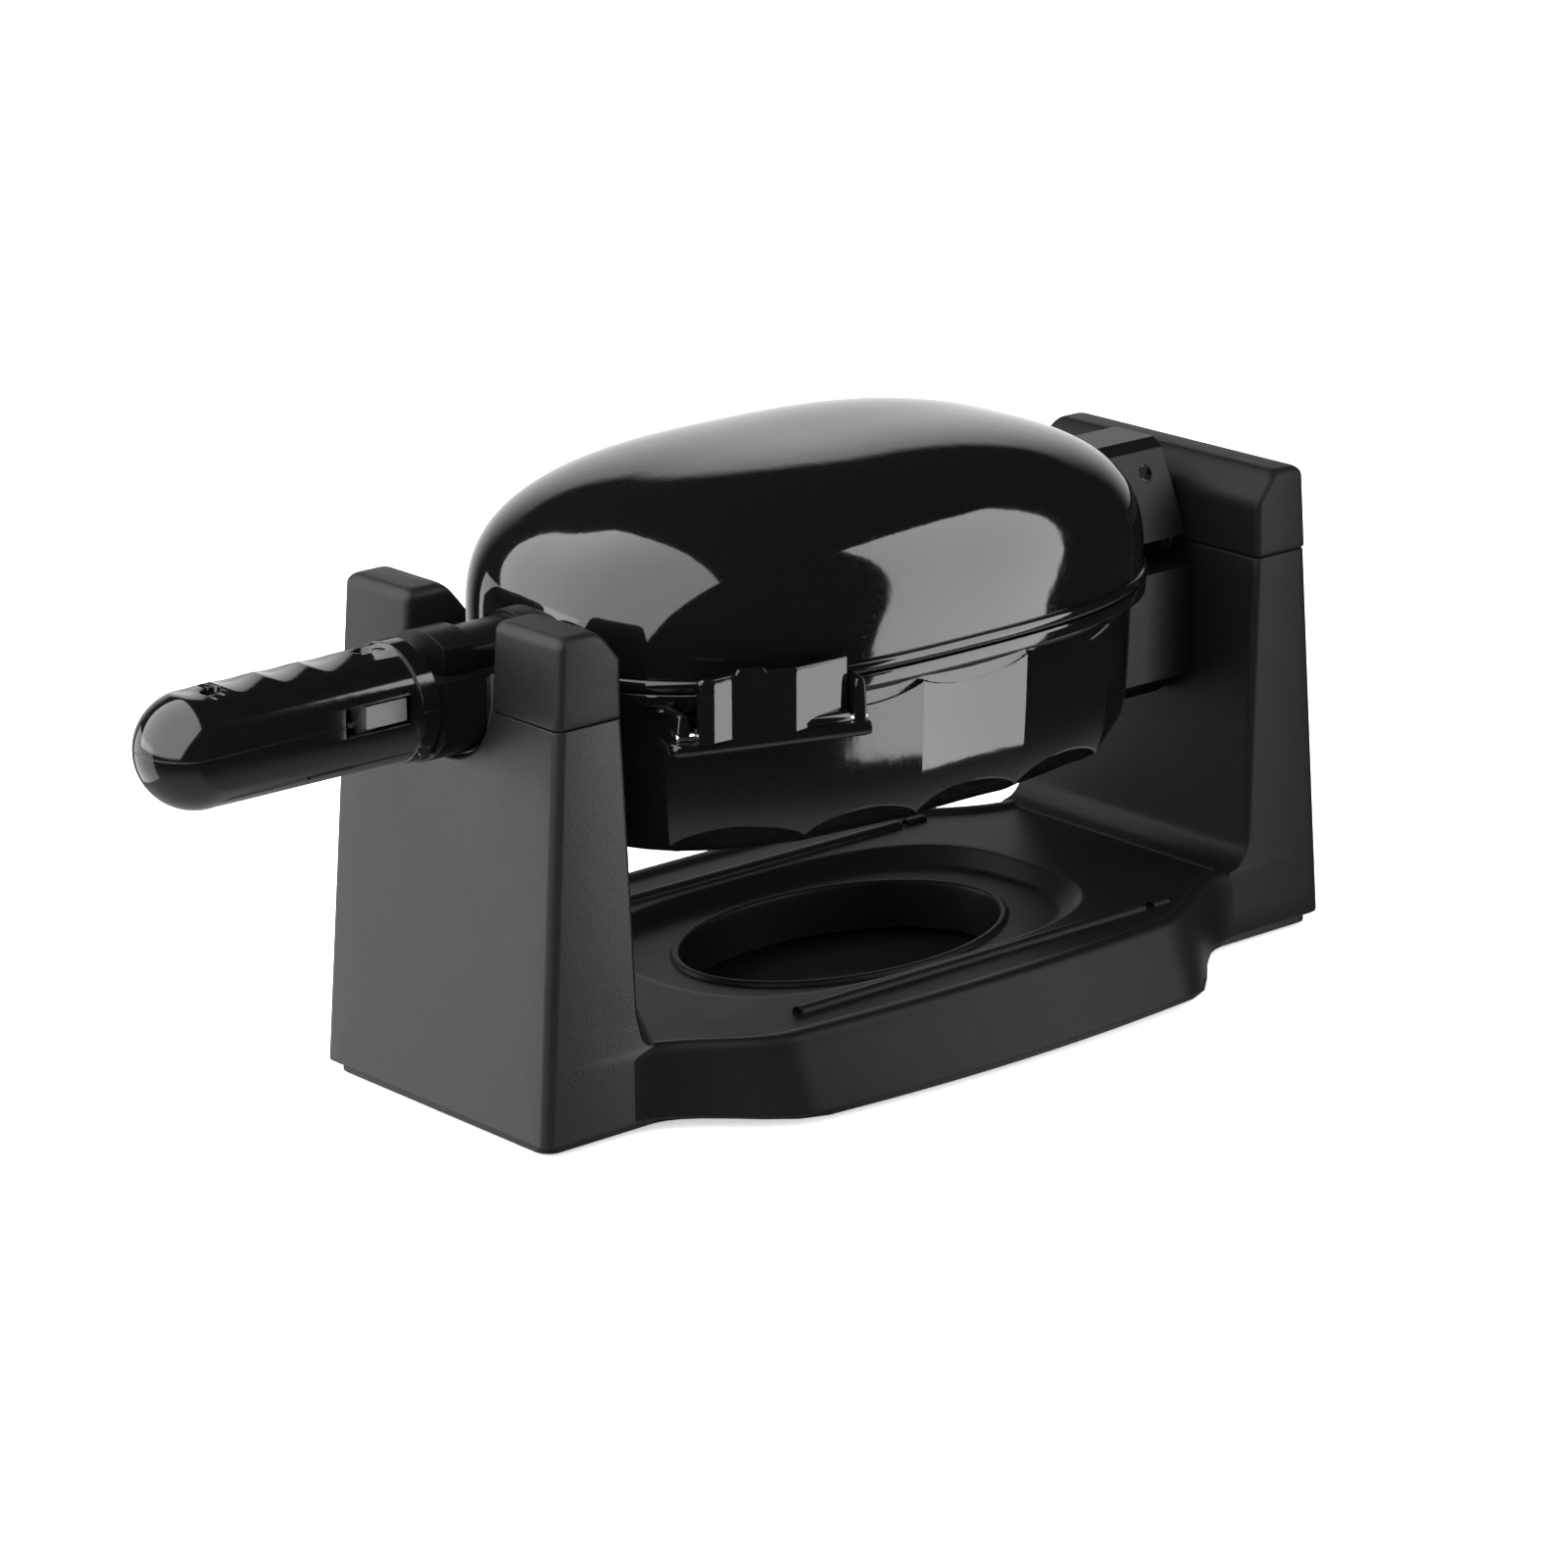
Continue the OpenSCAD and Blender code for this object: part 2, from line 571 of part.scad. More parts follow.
module thermostat() {
    post(0, 0, plate_low + touch, plate_low + stat_h, stat_r);
    for (s = [-1, 1]) translate([s * 5 - 0.4, -3, plate_low + stat_h - e]) cube([0.8, 6, 2]);
}
module upper_thermostat() color([0.9, 0.9, 0.85]) turning() thermostat();
module lower_thermostat() color([0.9, 0.9, 0.85]) turning() mirror([0, 0, 1]) thermostat();

// A round neck from x0 to x1 that steps down to its journal inside the saddle
module neck_bar(x0, x1, w) {
    intersection() {
        bar_x(x0, 0, 0, neck_r, liner_x0 - 0.4 - x0);
        block(x0 - 1, liner_x0, w, -40, 40);
    }
    bar_x(liner_x0 - 0.5, 0, 0, journal_r, liner_x1 - liner_x0 + 1);
    bar_x(liner_x1 + 0.4, 0, 0, neck_r, x1 - liner_x1 - 0.4);
}

fold_z = -14;
eye_w = 16;
eye_x = fold_x + fold_r;
module lower_neck() color([0.1, 0.1, 0.1]) turning() difference() {
    union() {
        difference() {
            neck_bar(neck_end, -half_a + 14, neck_low_w);
            // room for the grip when it hangs
            block(neck_end - 1, fold_x + fold_r + 0.7, 60, -40, fold_z + fold_r + 0.7);
        }
        bar_y(fold_x, fold_z, fold_r, eye_w);
        block(fold_x, fold_x + fold_r + 6, eye_w, fold_z - fold_r, fold_z + fold_r);
    }
    block(neck_end - 1, 0, 60, neck_seam, 60);
    block(-half_a - 1.5, 0, 60, -1, 60);
    skin(shell_outside(touch));
    bar_y(fold_x, fold_z, fold_pin_r, 60);
    bar_x(neck_end - 20, 0, 0, lead_r, 40);
}
module fold_pin() color([0.75, 0.75, 0.75]) turning()
    bar_y(fold_x, fold_z, fold_pin_r - 0.01, grip_w - 4);

box_foot = -(shell_h - 12);
lower_box = [[22, -8], [31, -10], [31, box_foot], [14, 1 - shell_h], [-14, 1 - shell_h],
    [-31, box_foot], [-31, -10], [-22, -8]];
lower_room = [[20, -11], [28, -13], [28, box_foot + 2], [13, 4 - shell_h], [-13, 4 - shell_h],
    [-28, box_foot + 2], [-28, -13], [-20, -11]];
arm_t = 10;
module lower_hinge_box() color([0.1, 0.1, 0.1]) turning() difference() {
    union() {
        difference() {
            prism_x(half_a - 30, box_end, lower_box);
            prism_x(half_a - 31, box_end - 3, lower_room);
        }
        block(pin_x + arm_t / 2 + 1, box_end, 26, -9, -2.6);
    }
    block(pin_x + arm_t / 2 + 2.5, box_end + 1, 8, -14, 0);
    block(pin_x - arm_t / 2 - touch, pin_x + arm_t / 2 + touch, arm_w + 2 * touch, -16, 0);
    for (s = [-1, 1], z = [-18, -30]) bar_x(box_end - 10, s * 14, z, screw_d / 2, 12);
    skin(shell_outside(touch));
}

module hinge_arm() color([0.65, 0.65, 0.67]) turning() difference() {
    union() {
        bar_y(pin_x, pin_z, 6.5, arm_w);
        block(pin_x - arm_t / 2, pin_x + arm_t / 2, arm_w, -12, pin_z);
        block(pin_x - 12, pin_x + 8, 30, -14, -11 - touch);
    }
    bar_y(pin_x, pin_z, pin_r, 60);
}
function box_half(z) = box_w / 2 - (box_w - box_top_w) / 2 * (z - 1.4) / (box_top - 1.4);
box_top = pin_z + 11;
module hinge_pin() color([0.8, 0.8, 0.8]) turning()
    bar_y(pin_x, pin_z, pin_r - 0.01, 2 * box_half(pin_z) - 3);

plate_w = 44;
module hollow_shaft() color([0.7, 0.7, 0.72]) turning() difference() {
    union() {
        block(box_end + touch, box_end + 2.5, plate_w, -38, -9);
        bar_x(box_end + touch, 0, 0, shaft_r + 4, 2.4);
        block(box_end + touch, box_end + 2.5, 2 * shaft_r + 8, -12, 0);
        bar_x(box_end + 2, 0, 0, shaft_r, bearing_x1 + 4 - box_end - 2);
    }
    bar_x(box_end - 1, 0, 0, lead_r, 60);
    difference() {
        bar_x(bearing_x1 + 0.5, 0, 0, shaft_r + 5, 1.6);
        bar_x(bearing_x1, 0, 0, shaft_r - 1.2, 4);
    }
    for (s = [-1, 1], z = [-18, -30]) bar_x(box_end - 1, s * 14, z, screw_d / 2 + 0.1, 9);
}
module shaft_ring() color([0.8, 0.8, 0.8]) turning() difference() {
    bar_x(bearing_x1 + 0.55, 0, 0, shaft_r + 3, 1.5);
    bar_x(bearing_x1, 0, 0, shaft_r - 1.15, 4);
    translate([bearing_x1, -3, 0]) cube([4, 6, 30]);
}
module flange_screws() color([0.7, 0.7, 0.7]) turning()
    for (s = [-1, 1], z = [-18, -30]) bar_x(box_end - 8, s * 14, z, screw_d / 2 - touch, 10.3);

// ---- Latch ----

latch_x0 = latch_x - latch_l / 2;
latch_x1 = latch_x + latch_l / 2;
latch_y0 = oval_y(latch_x0, half_a, half_b, body_n);
latch_y1 = oval_y(latch_x1, half_a, half_b, body_n);
latch_turn = -atan2(latch_y1 - latch_y0, latch_l);
latch_pin_y = -8.2;
latch_pin_z = -12;
latch_pin_r = 1.6;
// The latch's own frame: along the rim, with -Y pointing away from the body
module at_latch() turning() translate([latch_x, -(latch_y0 + latch_y1) / 2, 0])
    rotate([0, 0, latch_turn]) children();
module latch_bar(r, len) translate([-len / 2, latch_pin_y, latch_pin_z]) rotate([0, 90, 0])
    cylinder(r = r, h = len);

module latch_bracket() color([0.1, 0.1, 0.1]) difference() {
    at_latch() difference() {
        union() {
            translate([-latch_l / 2 - 6, latch_pin_y, -18]) cube([latch_l + 12, 22, 2.6]);
            for (s = [-1, 1]) translate([s * (latch_l / 2 + 3.2) - 2.4, latch_pin_y, -18])
                cube([4.8, 22, 8.8]);
            for (s = [-1, 1]) translate([s * (latch_l / 2 + 3.2), 0, 0])
                translate([-2.4, latch_pin_y, latch_pin_z]) rotate([0, 90, 0])
                    cylinder(r = 2.8, h = 4.8);
        }
        latch_bar(latch_pin_r, latch_l + 20);
    }
    turning() skin(shell_outside(touch));
    turning() block(-half_a, half_a, body_w + 40, -band_h - 2.2, 30);
}
module latch_pin() color([0.8, 0.8, 0.8]) at_latch() latch_bar(latch_pin_r - 0.01, latch_l + 10);
module latch_lever() color([0.1, 0.1, 0.1]) at_latch() difference() {
    union() {
        latch_bar(2.8, latch_l);
        translate([-latch_l / 2, latch_pin_y - 2.8, latch_pin_z]) cube([latch_l, 2.6, latch_h + 2]);
        translate([-7, latch_pin_y - 4, latch_pin_z + latch_h - 5]) cube([14, 4, 7]);
    }
    latch_bar(latch_pin_r + run_gap, latch_l + 20);
}

// ---- Lid ----

module lid_shell() color([0.05, 0.05, 0.05]) turning()
    skin(concat(lid_inside(), [lid_ring(1.4 + shell_wall, part_gap / 2)], lid_outside(0)));

module lid_neck() color([0.1, 0.1, 0.1]) turning() difference() {
    intersection() {
        neck_bar(front_out - 0.5, -half_a + 30, neck_top_w);
        block(front_out - 1, -half_a + 30, neck_top_w, neck_seam + 0.3, 40);
    }
    skin(lid_outside(touch));
}

upper_box = [[box_w / 2, 1.4], [box_half(box_top - 3), box_top - 3], [box_top_w / 2 - 4, box_top],
    [4 - box_top_w / 2, box_top], [-box_half(box_top - 3), box_top - 3], [-box_w / 2, 1.4]];
slot_w = arm_w + 1.2;
module upper_hinge_box() color([0.1, 0.1, 0.1]) turning() difference() {
    prism_x(half_a - 40, box_end, upper_box);
    // slot for the arm, open downwards and backwards
    block(pin_x - 7.2, box_end + 1, slot_w, 0, pin_z);
    bar_y(pin_x, pin_z, 7.2, slot_w);
    block(pin_x, box_end + 1, slot_w, 0, pin_z + 7.2);
    bar_y(pin_x, pin_z, pin_r + run_gap, 60);
    skin(lid_outside(touch));
}

// ---- Handle ----

part_z = 1.5;
grip_wall = 3;
window_x1 = grip_x - 9;
window_z = 2.5;
slide_l = 17;
slide_x0 = window_x1 - 2 - slide_l;
window_x0 = slide_x0 - slide_travel - 0.3;
// The grip's outline at radius r: a round bar with flat sides and a round end
module grip_form(r, w, x1) intersection() {
    union() {
        bar_x(tip_x + grip_r, 0, 0, r, x1 - tip_x - grip_r);
        translate([tip_x + grip_r, 0, 0]) sphere(r = r);
    }
    block(tip_x - 1, x1, w, -40, 40);
}
module grip_full() difference() {
    union() {
        grip_form(grip_r, grip_w, grip_x);
        bar_x(grip_x - 7, 0, 0, grip_r + 1, 7);
    }
    difference() {
        grip_form(grip_r - grip_wall - 2, grip_w - 2 * grip_wall, grip_x - 8);
        block(fold_x - 12, grip_x, 60, -40, fold_z + 9);
    }
    // slot for the neck's eye, and room round the fold
    block(fold_x - fold_r - 0.6, grip_x + 1, eye_w + 0.6, -40, fold_z + fold_r + 0.6);
    difference() {
        block(fold_x, grip_x + 1, 60, -40, fold_z);
        bar_y(fold_x, fold_z, fold_r, 60);
    }
    bar_y(fold_x, fold_z, fold_pin_r + run_gap, 60);
    // finger dips on the top
    for (i = [0:3]) translate([grip_x - 30 - 18 * i, 0, grip_r + 24]) rotate([90, 0, 0])
        cylinder(r = 26.5, h = 60, center = true);
    // window for the lock slide, in the near side
    translate([window_x0, -grip_w, window_z - slide_h / 2 - 1])
        cube([window_x1 - window_x0, grip_w - 8, slide_h + 2]);
    for (x = grip_screw_x) {
        post(x, 0, 4 - grip_r, 40, screw_d / 2);
        post(x, 0, grip_head_z, 40, screw_d);
    }
}
grip_screw_x = [grip_x - 16, tip_x + 28];
grip_head_z = grip_r - 7;
module grip_bosses() for (x = grip_screw_x) difference() {
    post(x, 0, 3 - grip_r, grip_r - 4.6, 5.5);
    post(x, 0, 4 - grip_r, 40, screw_d / 2);
    post(x, 0, grip_head_z, 40, screw_d);
}
// rib that the lock spring pushes against
module spring_rib() block(spring_x0 - 2, spring_x0, grip_w - 2 * grip_wall + 1, 6 - grip_r,
    part_z - touch);
module grip_lower() color([0.06, 0.06, 0.06]) turning() intersection() {
    union() {
        grip_full();
        grip_bosses();
        spring_rib();
    }
    block(tip_x - 1, grip_x + 1, 60, -40, part_z - touch);
}
module grip_upper() color([0.06, 0.06, 0.06]) turning() intersection() {
    union() {
        grip_full();
        grip_bosses();
    }
    block(tip_x - 1, grip_x + 1, 60, part_z, 40);
}
module grip_screws() color([0.7, 0.7, 0.7]) turning() for (x = grip_screw_x)
    translate([x, 0, grip_head_z + 0.55 * screw_d + touch]) rotate([180, 0, 0])
        screw(24, screw_d);

slide_y = -grip_w / 2 + 1;
spring_x0 = slide_x0 - 23;
spring_y = -10.5;
spring_r = 2;
module lock_slide() color([0.75, 0.75, 0.76]) turning() {
    translate([slide_x0, slide_y, window_z - slide_h / 2]) cube([slide_l, 3, slide_h]);
    translate([slide_x0, slide_y + 2.9, window_z - slide_h / 2 - 2.5])
        cube([5, 6, slide_h + 2]);
    bar_x(slide_x0 - 4, spring_y, -1, spring_r - 0.9, 4);
}
module lock_spring() color([0.8, 0.8, 0.8]) turning() difference() {
    bar_x(spring_x0 + touch, spring_y, -1, spring_r, slide_x0 - spring_x0 - 2 * touch);
    bar_x(spring_x0, spring_y, -1, spring_r - 0.6, slide_x0 - spring_x0);
}

base_housing();
under_plate();
front_cap_near();
front_cap_far();
rear_cap();
saddle_liner();
shaft_bearing();
rubber_feet();
under_screws();
cord_inlet();
lower_shell();
lower_posts();
lower_plate();
lower_heater();
lower_pan();
lower_thermostat();
lower_plate_screws();
lower_neck();
lower_hinge_box();
hinge_arm();
hinge_pin();
hollow_shaft();
flange_screws();
shaft_ring();
fold_pin();
latch_bracket();
latch_pin();
lid_shell();
lid_posts();
upper_plate();
upper_heater();
upper_pan();
upper_thermostat();
upper_plate_screws();
lid_neck();
upper_hinge_box();
latch_lever();
grip_upper();
grip_lower();
grip_screws();
lock_slide();
lock_spring();
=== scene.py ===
"""Looks of the turning waffle cone maker: a glossy oval body between two satin pylons."""

import json
import math

import bmesh
import bpy
import numpy as np
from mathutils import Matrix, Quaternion, Vector

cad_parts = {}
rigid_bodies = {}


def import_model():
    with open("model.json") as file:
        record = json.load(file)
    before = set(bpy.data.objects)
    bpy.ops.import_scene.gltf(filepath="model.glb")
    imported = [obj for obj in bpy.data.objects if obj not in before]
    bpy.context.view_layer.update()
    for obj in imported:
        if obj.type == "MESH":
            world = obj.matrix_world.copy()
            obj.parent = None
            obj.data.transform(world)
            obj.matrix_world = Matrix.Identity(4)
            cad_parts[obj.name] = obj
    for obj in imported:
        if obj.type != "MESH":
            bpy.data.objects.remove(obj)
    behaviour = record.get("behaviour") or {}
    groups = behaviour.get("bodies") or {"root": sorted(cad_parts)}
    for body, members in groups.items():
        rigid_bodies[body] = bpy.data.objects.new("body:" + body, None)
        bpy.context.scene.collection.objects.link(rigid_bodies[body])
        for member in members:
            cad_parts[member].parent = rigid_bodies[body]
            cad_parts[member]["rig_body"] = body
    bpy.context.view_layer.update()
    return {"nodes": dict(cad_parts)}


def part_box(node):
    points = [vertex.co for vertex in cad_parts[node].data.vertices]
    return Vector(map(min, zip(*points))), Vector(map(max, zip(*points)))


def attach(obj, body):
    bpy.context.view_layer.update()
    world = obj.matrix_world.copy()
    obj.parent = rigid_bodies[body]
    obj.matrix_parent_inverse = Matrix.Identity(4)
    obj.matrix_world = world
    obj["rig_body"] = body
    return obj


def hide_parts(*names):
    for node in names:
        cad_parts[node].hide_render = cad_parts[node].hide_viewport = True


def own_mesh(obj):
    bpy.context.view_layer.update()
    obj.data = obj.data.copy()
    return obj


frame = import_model()

MM = 0.001


# ---- Camera, lights and floor ----


def place_camera():
    """Camera at a long distance, in front of the near side and a little above the object."""
    data = bpy.data.cameras.new("camera")
    data.sensor_width = 36.0
    data.lens = 129.8
    data.shift_x = -0.0398
    data.clip_end = 60.0
    camera = bpy.data.objects.new("camera", data)
    camera.location = (-1.2632, -1.4697, 0.7010)
    camera.rotation_euler = (math.radians(72.6), 0.0, math.radians(-42.01))
    bpy.context.scene.collection.objects.link(camera)
    bpy.context.scene.camera = camera


place_camera()
bpy.context.scene.view_settings.view_transform = "Standard"


def softbox(name, azimuth, elevation, distance, size, radiance, roll=0.0, seen=True):
    """Area light at a direction from the body's middle, turned towards it and rolled."""
    data = bpy.data.lights.new(name, "AREA")
    data.shape = "RECTANGLE"
    data.size, data.size_y = size
    data.energy = radiance * math.pi * size[0] * size[1]
    lamp = bpy.data.objects.new(name, data)
    a, e = math.radians(azimuth), math.radians(elevation)
    way = Vector((math.cos(e) * math.cos(a), math.cos(e) * math.sin(a), math.sin(e)))
    lamp.location = Vector((0.043, 0.0, 0.16)) + way * distance
    turn = way.to_track_quat("Z", "Y") @ Quaternion((0, 0, 1), math.radians(roll))
    lamp.rotation_euler = turn.to_euler()
    lamp.visible_glossy = seen
    bpy.context.scene.collection.objects.link(lamp)
    return lamp


softbox("left_softbox", 166, 40, 1.2, (2.7, 2.2), 4.8)
softbox("right_softbox", -48.5, 11, 0.80, (0.37, 1.12), 6.3, roll=-9)
softbox("end_card", 133, -14, 1.1, (1.1, 0.8), 2.4)
softbox("overhead_fill", 90, 88, 2.6, (3.4, 3.4), 1.6, seen=False)


# ---- Shader maths ----


class Wire:
    """A node output that adds Math nodes when it is used in a Python expression."""

    def __init__(self, finish, socket):
        self.finish = finish
        self.socket = socket

    def _math(self, operation, first, second=None):
        sockets = [first] if second is None else [first, second]
        return self.finish.add("ShaderNodeMath", {"operation": operation}, *sockets)

    def __add__(self, other):
        return self._math("ADD", self, other)

    def __radd__(self, other):
        return self._math("ADD", other, self)

    def __sub__(self, other):
        return self._math("SUBTRACT", self, other)

    def __rsub__(self, other):
        return self._math("SUBTRACT", other, self)

    def __mul__(self, other):
        return self._math("MULTIPLY", self, other)

    def __rmul__(self, other):
        return self._math("MULTIPLY", other, self)

    def __truediv__(self, other):
        return self._math("DIVIDE", self, other)

    def __pow__(self, other):
        return self._math("POWER", self, other)

    def held(self, low=0.0, high=1.0):
        """The value kept between low and high."""
        return self._math("MINIMUM", self._math("MAXIMUM", self, low), high)


class Finish:
    """A procedural material: one Principled shader and the nodes that drive it."""

    def __init__(self, name):
        self.material = bpy.data.materials.new(name)
        self.material.use_nodes = True
        self.tree = self.material.node_tree
        self.shader = self.tree.nodes["Principled BSDF"]
        self.coords = self.output("ShaderNodeTexCoord", "Object")

    def node(self, kind, settings=None, *values, **named):
        """A node of a type, its settings first, then the values or links of its sockets."""
        made = self.tree.nodes.new(kind)
        for key, value in (settings or {}).items():
            setattr(made, key, value)
        for place, value in enumerate(values):
            self.feed(made.inputs[place], value)
        for key, value in named.items():
            self.feed(made.inputs[key], value)
        return made

    def feed(self, socket, value):
        """Puts a number, a colour or a link on a socket."""
        if isinstance(value, Wire):
            self.tree.links.new(value.socket, socket)
        else:
            socket.default_value = value

    def add(self, kind, settings=None, *values, **named):
        """The first output of a new node."""
        return Wire(self, self.node(kind, settings, *values, **named).outputs[0])

    def output(self, kind, name, settings=None, *values, **named):
        """A named output of a new node."""
        return Wire(self, self.node(kind, settings, *values, **named).outputs[name])

    def noise(self, size, detail=3.0, rough=0.55, stretch=None):
        """Noise whose features are about size metres wide, from 0 to 1."""
        where = self.coords
        if stretch:
            scale = {"operation": "MULTIPLY"}
            where = self.output("ShaderNodeVectorMath", "Vector", scale, where, stretch)
        return self.output(
            "ShaderNodeTexNoise", "Fac", None, where, Scale=1.0 / size, Detail=detail, Roughness=rough
        )

    def step(self, value, low, high):
        """0 below low, 1 above high, and a straight ramp between."""
        return ((value - low) / (high - low)).held()

    def blend(self, mask, first, second):
        """A colour that goes from first to second as mask goes from 0 to 1."""
        mix = self.node("ShaderNodeMix", {"data_type": "RGBA"})
        self.feed(mix.inputs["Factor"], mask)
        self.feed(mix.inputs["A"], tone(first))
        self.feed(mix.inputs["B"], tone(second))
        return Wire(self, mix.outputs["Result"])

    def fixed(self, **values):
        """Shader values that are the same all over the surface."""
        for key, value in values.items():
            self.shader.inputs[key.replace("_", " ")].default_value = value
        return self

    def drive(self, **links):
        """Shader sockets fed by nodes."""
        for key, value in links.items():
            self.feed(self.shader.inputs[key.replace("_", " ")], value)
        return self

    def relief(self, height, depth, rounding=0.0):
        """Bump of a depth in metres, on edges that look rounded by a radius in metres."""
        bump = self.node("ShaderNodeBump", None, Strength=1.0, Distance=depth, Height=height)
        if rounding:
            soft = self.output("ShaderNodeBevel", "Normal", {"samples": 4}, Radius=rounding)
            self.feed(bump.inputs["Normal"], soft)
        self.drive(Normal=Wire(self, bump.outputs["Normal"]))
        return self


def tone(value):
    """A grey level or an RGB triple as RGBA."""
    if isinstance(value, Wire):
        return value
    if isinstance(value, (int, float)):
        return (value, value, value, 1.0)
    return (*value, 1.0)


def gloss_black(name, level=0.002, rough=0.06, rounding=0.0005):
    """Polished black moulding: faint orange peel, fine dust and small differences in polish."""
    f = Finish(name)
    peel = f.noise(0.011, 2.0)
    dust = f.step(f.noise(0.0006, 1.0), 0.68, 0.75)
    haze = f.noise(0.06, 3.0)
    f.drive(Base_Color=f.blend(dust * 0.35, level, 0.02))
    f.drive(Roughness=(rough + (haze - 0.5) * 0.05 + dust * 0.12).held(0.03, 1.0))
    f.fixed(Specular_IOR_Level=0.42, Coat_Roughness=0.04)
    f.relief(peel + dust * 0.06, 0.00004, rounding)
    return f.material


def satin_black(name, level=0.0045, rough=0.4, grain=0.0007, rounding=0.0008, gloss=0.3):
    """Spark-eroded black moulding: a fine even grain, with faint flow marks and rubbed patches."""
    f = Finish(name)
    fine = f.noise(grain, 2.0, 0.6)
    flow = f.noise(0.09, 4.0, 0.6, (1.0, 1.0, 0.35))
    rub = f.step(f.noise(0.028, 4.0, 0.65), 0.55, 0.8)
    f.drive(Base_Color=f.blend((flow * 0.7 + fine * 0.5).held(), level * 0.75, level * 1.5))
    f.drive(Roughness=(rough + (flow - 0.5) * 0.08 + (fine - 0.5) * 0.10 - rub * 0.05).held(0.1, 1.0))
    f.fixed(Specular_IOR_Level=gloss)
    f.relief(fine, 0.00006, rounding)
    return f.material


def bright_metal(name, level=0.6, rough=0.28, grain=(1.0, 1.0, 12.0), tint=(1.0, 1.0, 1.0)):
    """Plated or ground metal: drawn grain with a few dull spots."""
    f = Finish(name)
    lines = f.noise(0.004, 2.0, 0.5, grain)
    spots = f.step(f.noise(0.006, 3.0), 0.6, 0.72)
    low = tuple(level * 0.8 * t for t in tint)
    high = tuple(level * 1.1 * t for t in tint)
    f.drive(Base_Color=f.blend((lines - spots * 0.5).held(), low, high))
    f.drive(Roughness=(rough + (lines - 0.5) * 0.14 + spots * 0.15).held(0.05, 1.0))
    f.fixed(Metallic=1.0)
    f.relief(lines, 0.00002, 0.0002)
    return f.material


def baking_coat(name):
    """Dark non-stick coating on a casting: fine speckle, browned by use in uneven patches."""
    f = Finish(name)
    speck = f.step(f.noise(0.0008, 1.0), 0.62, 0.7)
    cloud = f.noise(0.035, 4.0)
    brown = f.blend((cloud * 1.2 - 0.3).held(), (0.030, 0.029, 0.028), (0.045, 0.034, 0.026))
    f.drive(Base_Color=f.blend(speck * 0.5, brown, (0.10, 0.10, 0.10)))
    f.drive(Roughness=(0.42 + (cloud - 0.5) * 0.2 + speck * 0.1).held(0.1, 1.0))
    f.fixed(Specular_IOR_Level=0.5)
    f.relief(f.noise(0.0015, 2.0), 0.00008, 0.0004)
    return f.material


def plain_moulding(name, colour, rough=0.5, grain=0.0012):
    """Small moulded or turned piece: soft mottling and a fine grain."""
    f = Finish(name)
    fine = f.noise(grain, 2.0)
    cloud = f.noise(0.012, 3.0)
    low = tuple(c * 0.82 for c in colour)
    high = tuple(min(1.0, c * 1.12) for c in colour)
    f.drive(Base_Color=f.blend((cloud * 0.8 + fine * 0.3).held(), low, high))
    f.drive(Roughness=(rough + (cloud - 0.5) * 0.12 + (fine - 0.5) * 0.08).held(0.05, 1.0))
    f.relief(fine, 0.00004, 0.0003)
    return f.material


SHELL = gloss_black("polished_shell")
HINGE = satin_black("hinge_moulding", 0.002, 0.34, 0.0009, 0.0006, 0.14)
GRIP = gloss_black("polished_grip", 0.002, 0.08, 0.0006)
STAND = satin_black("stand_grain")
# painted shade: a darker, less glossy copy of the stand's moulding for the tray, its deck rails and
# the rear pylon and cap, standing in for the shade that these lie in
SHADED_STAND = satin_black("shaded_stand_grain", 0.003, 0.45, gloss=0.11)
CAP = satin_black("cap_grain", 0.004, 0.45, 0.0007, 0.0012, 0.2)
UNDER = satin_black("under_grain", 0.003, 0.5, 0.0009, 0.0005)
RUBBER = plain_moulding("foot_rubber", (0.012, 0.012, 0.012), 0.75)
NYLON = plain_moulding("bearing_nylon", (0.02, 0.02, 0.02), 0.38)
CERAMIC = plain_moulding("thermostat_body", (0.72, 0.70, 0.64), 0.4)
SLIDE = plain_moulding("slide_moulding", (0.06, 0.06, 0.06), 0.25)
ZINC = bright_metal("zinc_plate", 0.55, 0.3)
GROUND = bright_metal("ground_pin", 0.65, 0.14)
ALLOY = bright_metal("cast_alloy", 0.5, 0.45, (1.0, 1.0, 1.0))
SHEET = bright_metal("bright_sheet", 0.62, 0.24, (1.0, 14.0, 1.0))
SHEATH = bright_metal("heater_sheath", 0.3, 0.35, (12.0, 1.0, 1.0), (1.0, 0.86, 0.72))
WIRE = bright_metal("spring_wire", 0.5, 0.25, (8.0, 1.0, 1.0))
COAT = baking_coat("baking_coat")


# ---- Surfaces ----


def smooth(mesh, angle=32.0):
    """Smooth shading that breaks at edges sharper than an angle in degrees."""
    mesh.shade_smooth()
    mesh.set_sharp_from_angle(angle=math.radians(angle))


def settle(obj, body, material, nodes):
    """Puts a finished piece on its body, with its material, for the nodes that it stands for."""
    obj.data.materials.clear()
    obj.data.materials.append(material)
    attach(obj, body)
    if nodes:
        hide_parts(*nodes)
    return obj


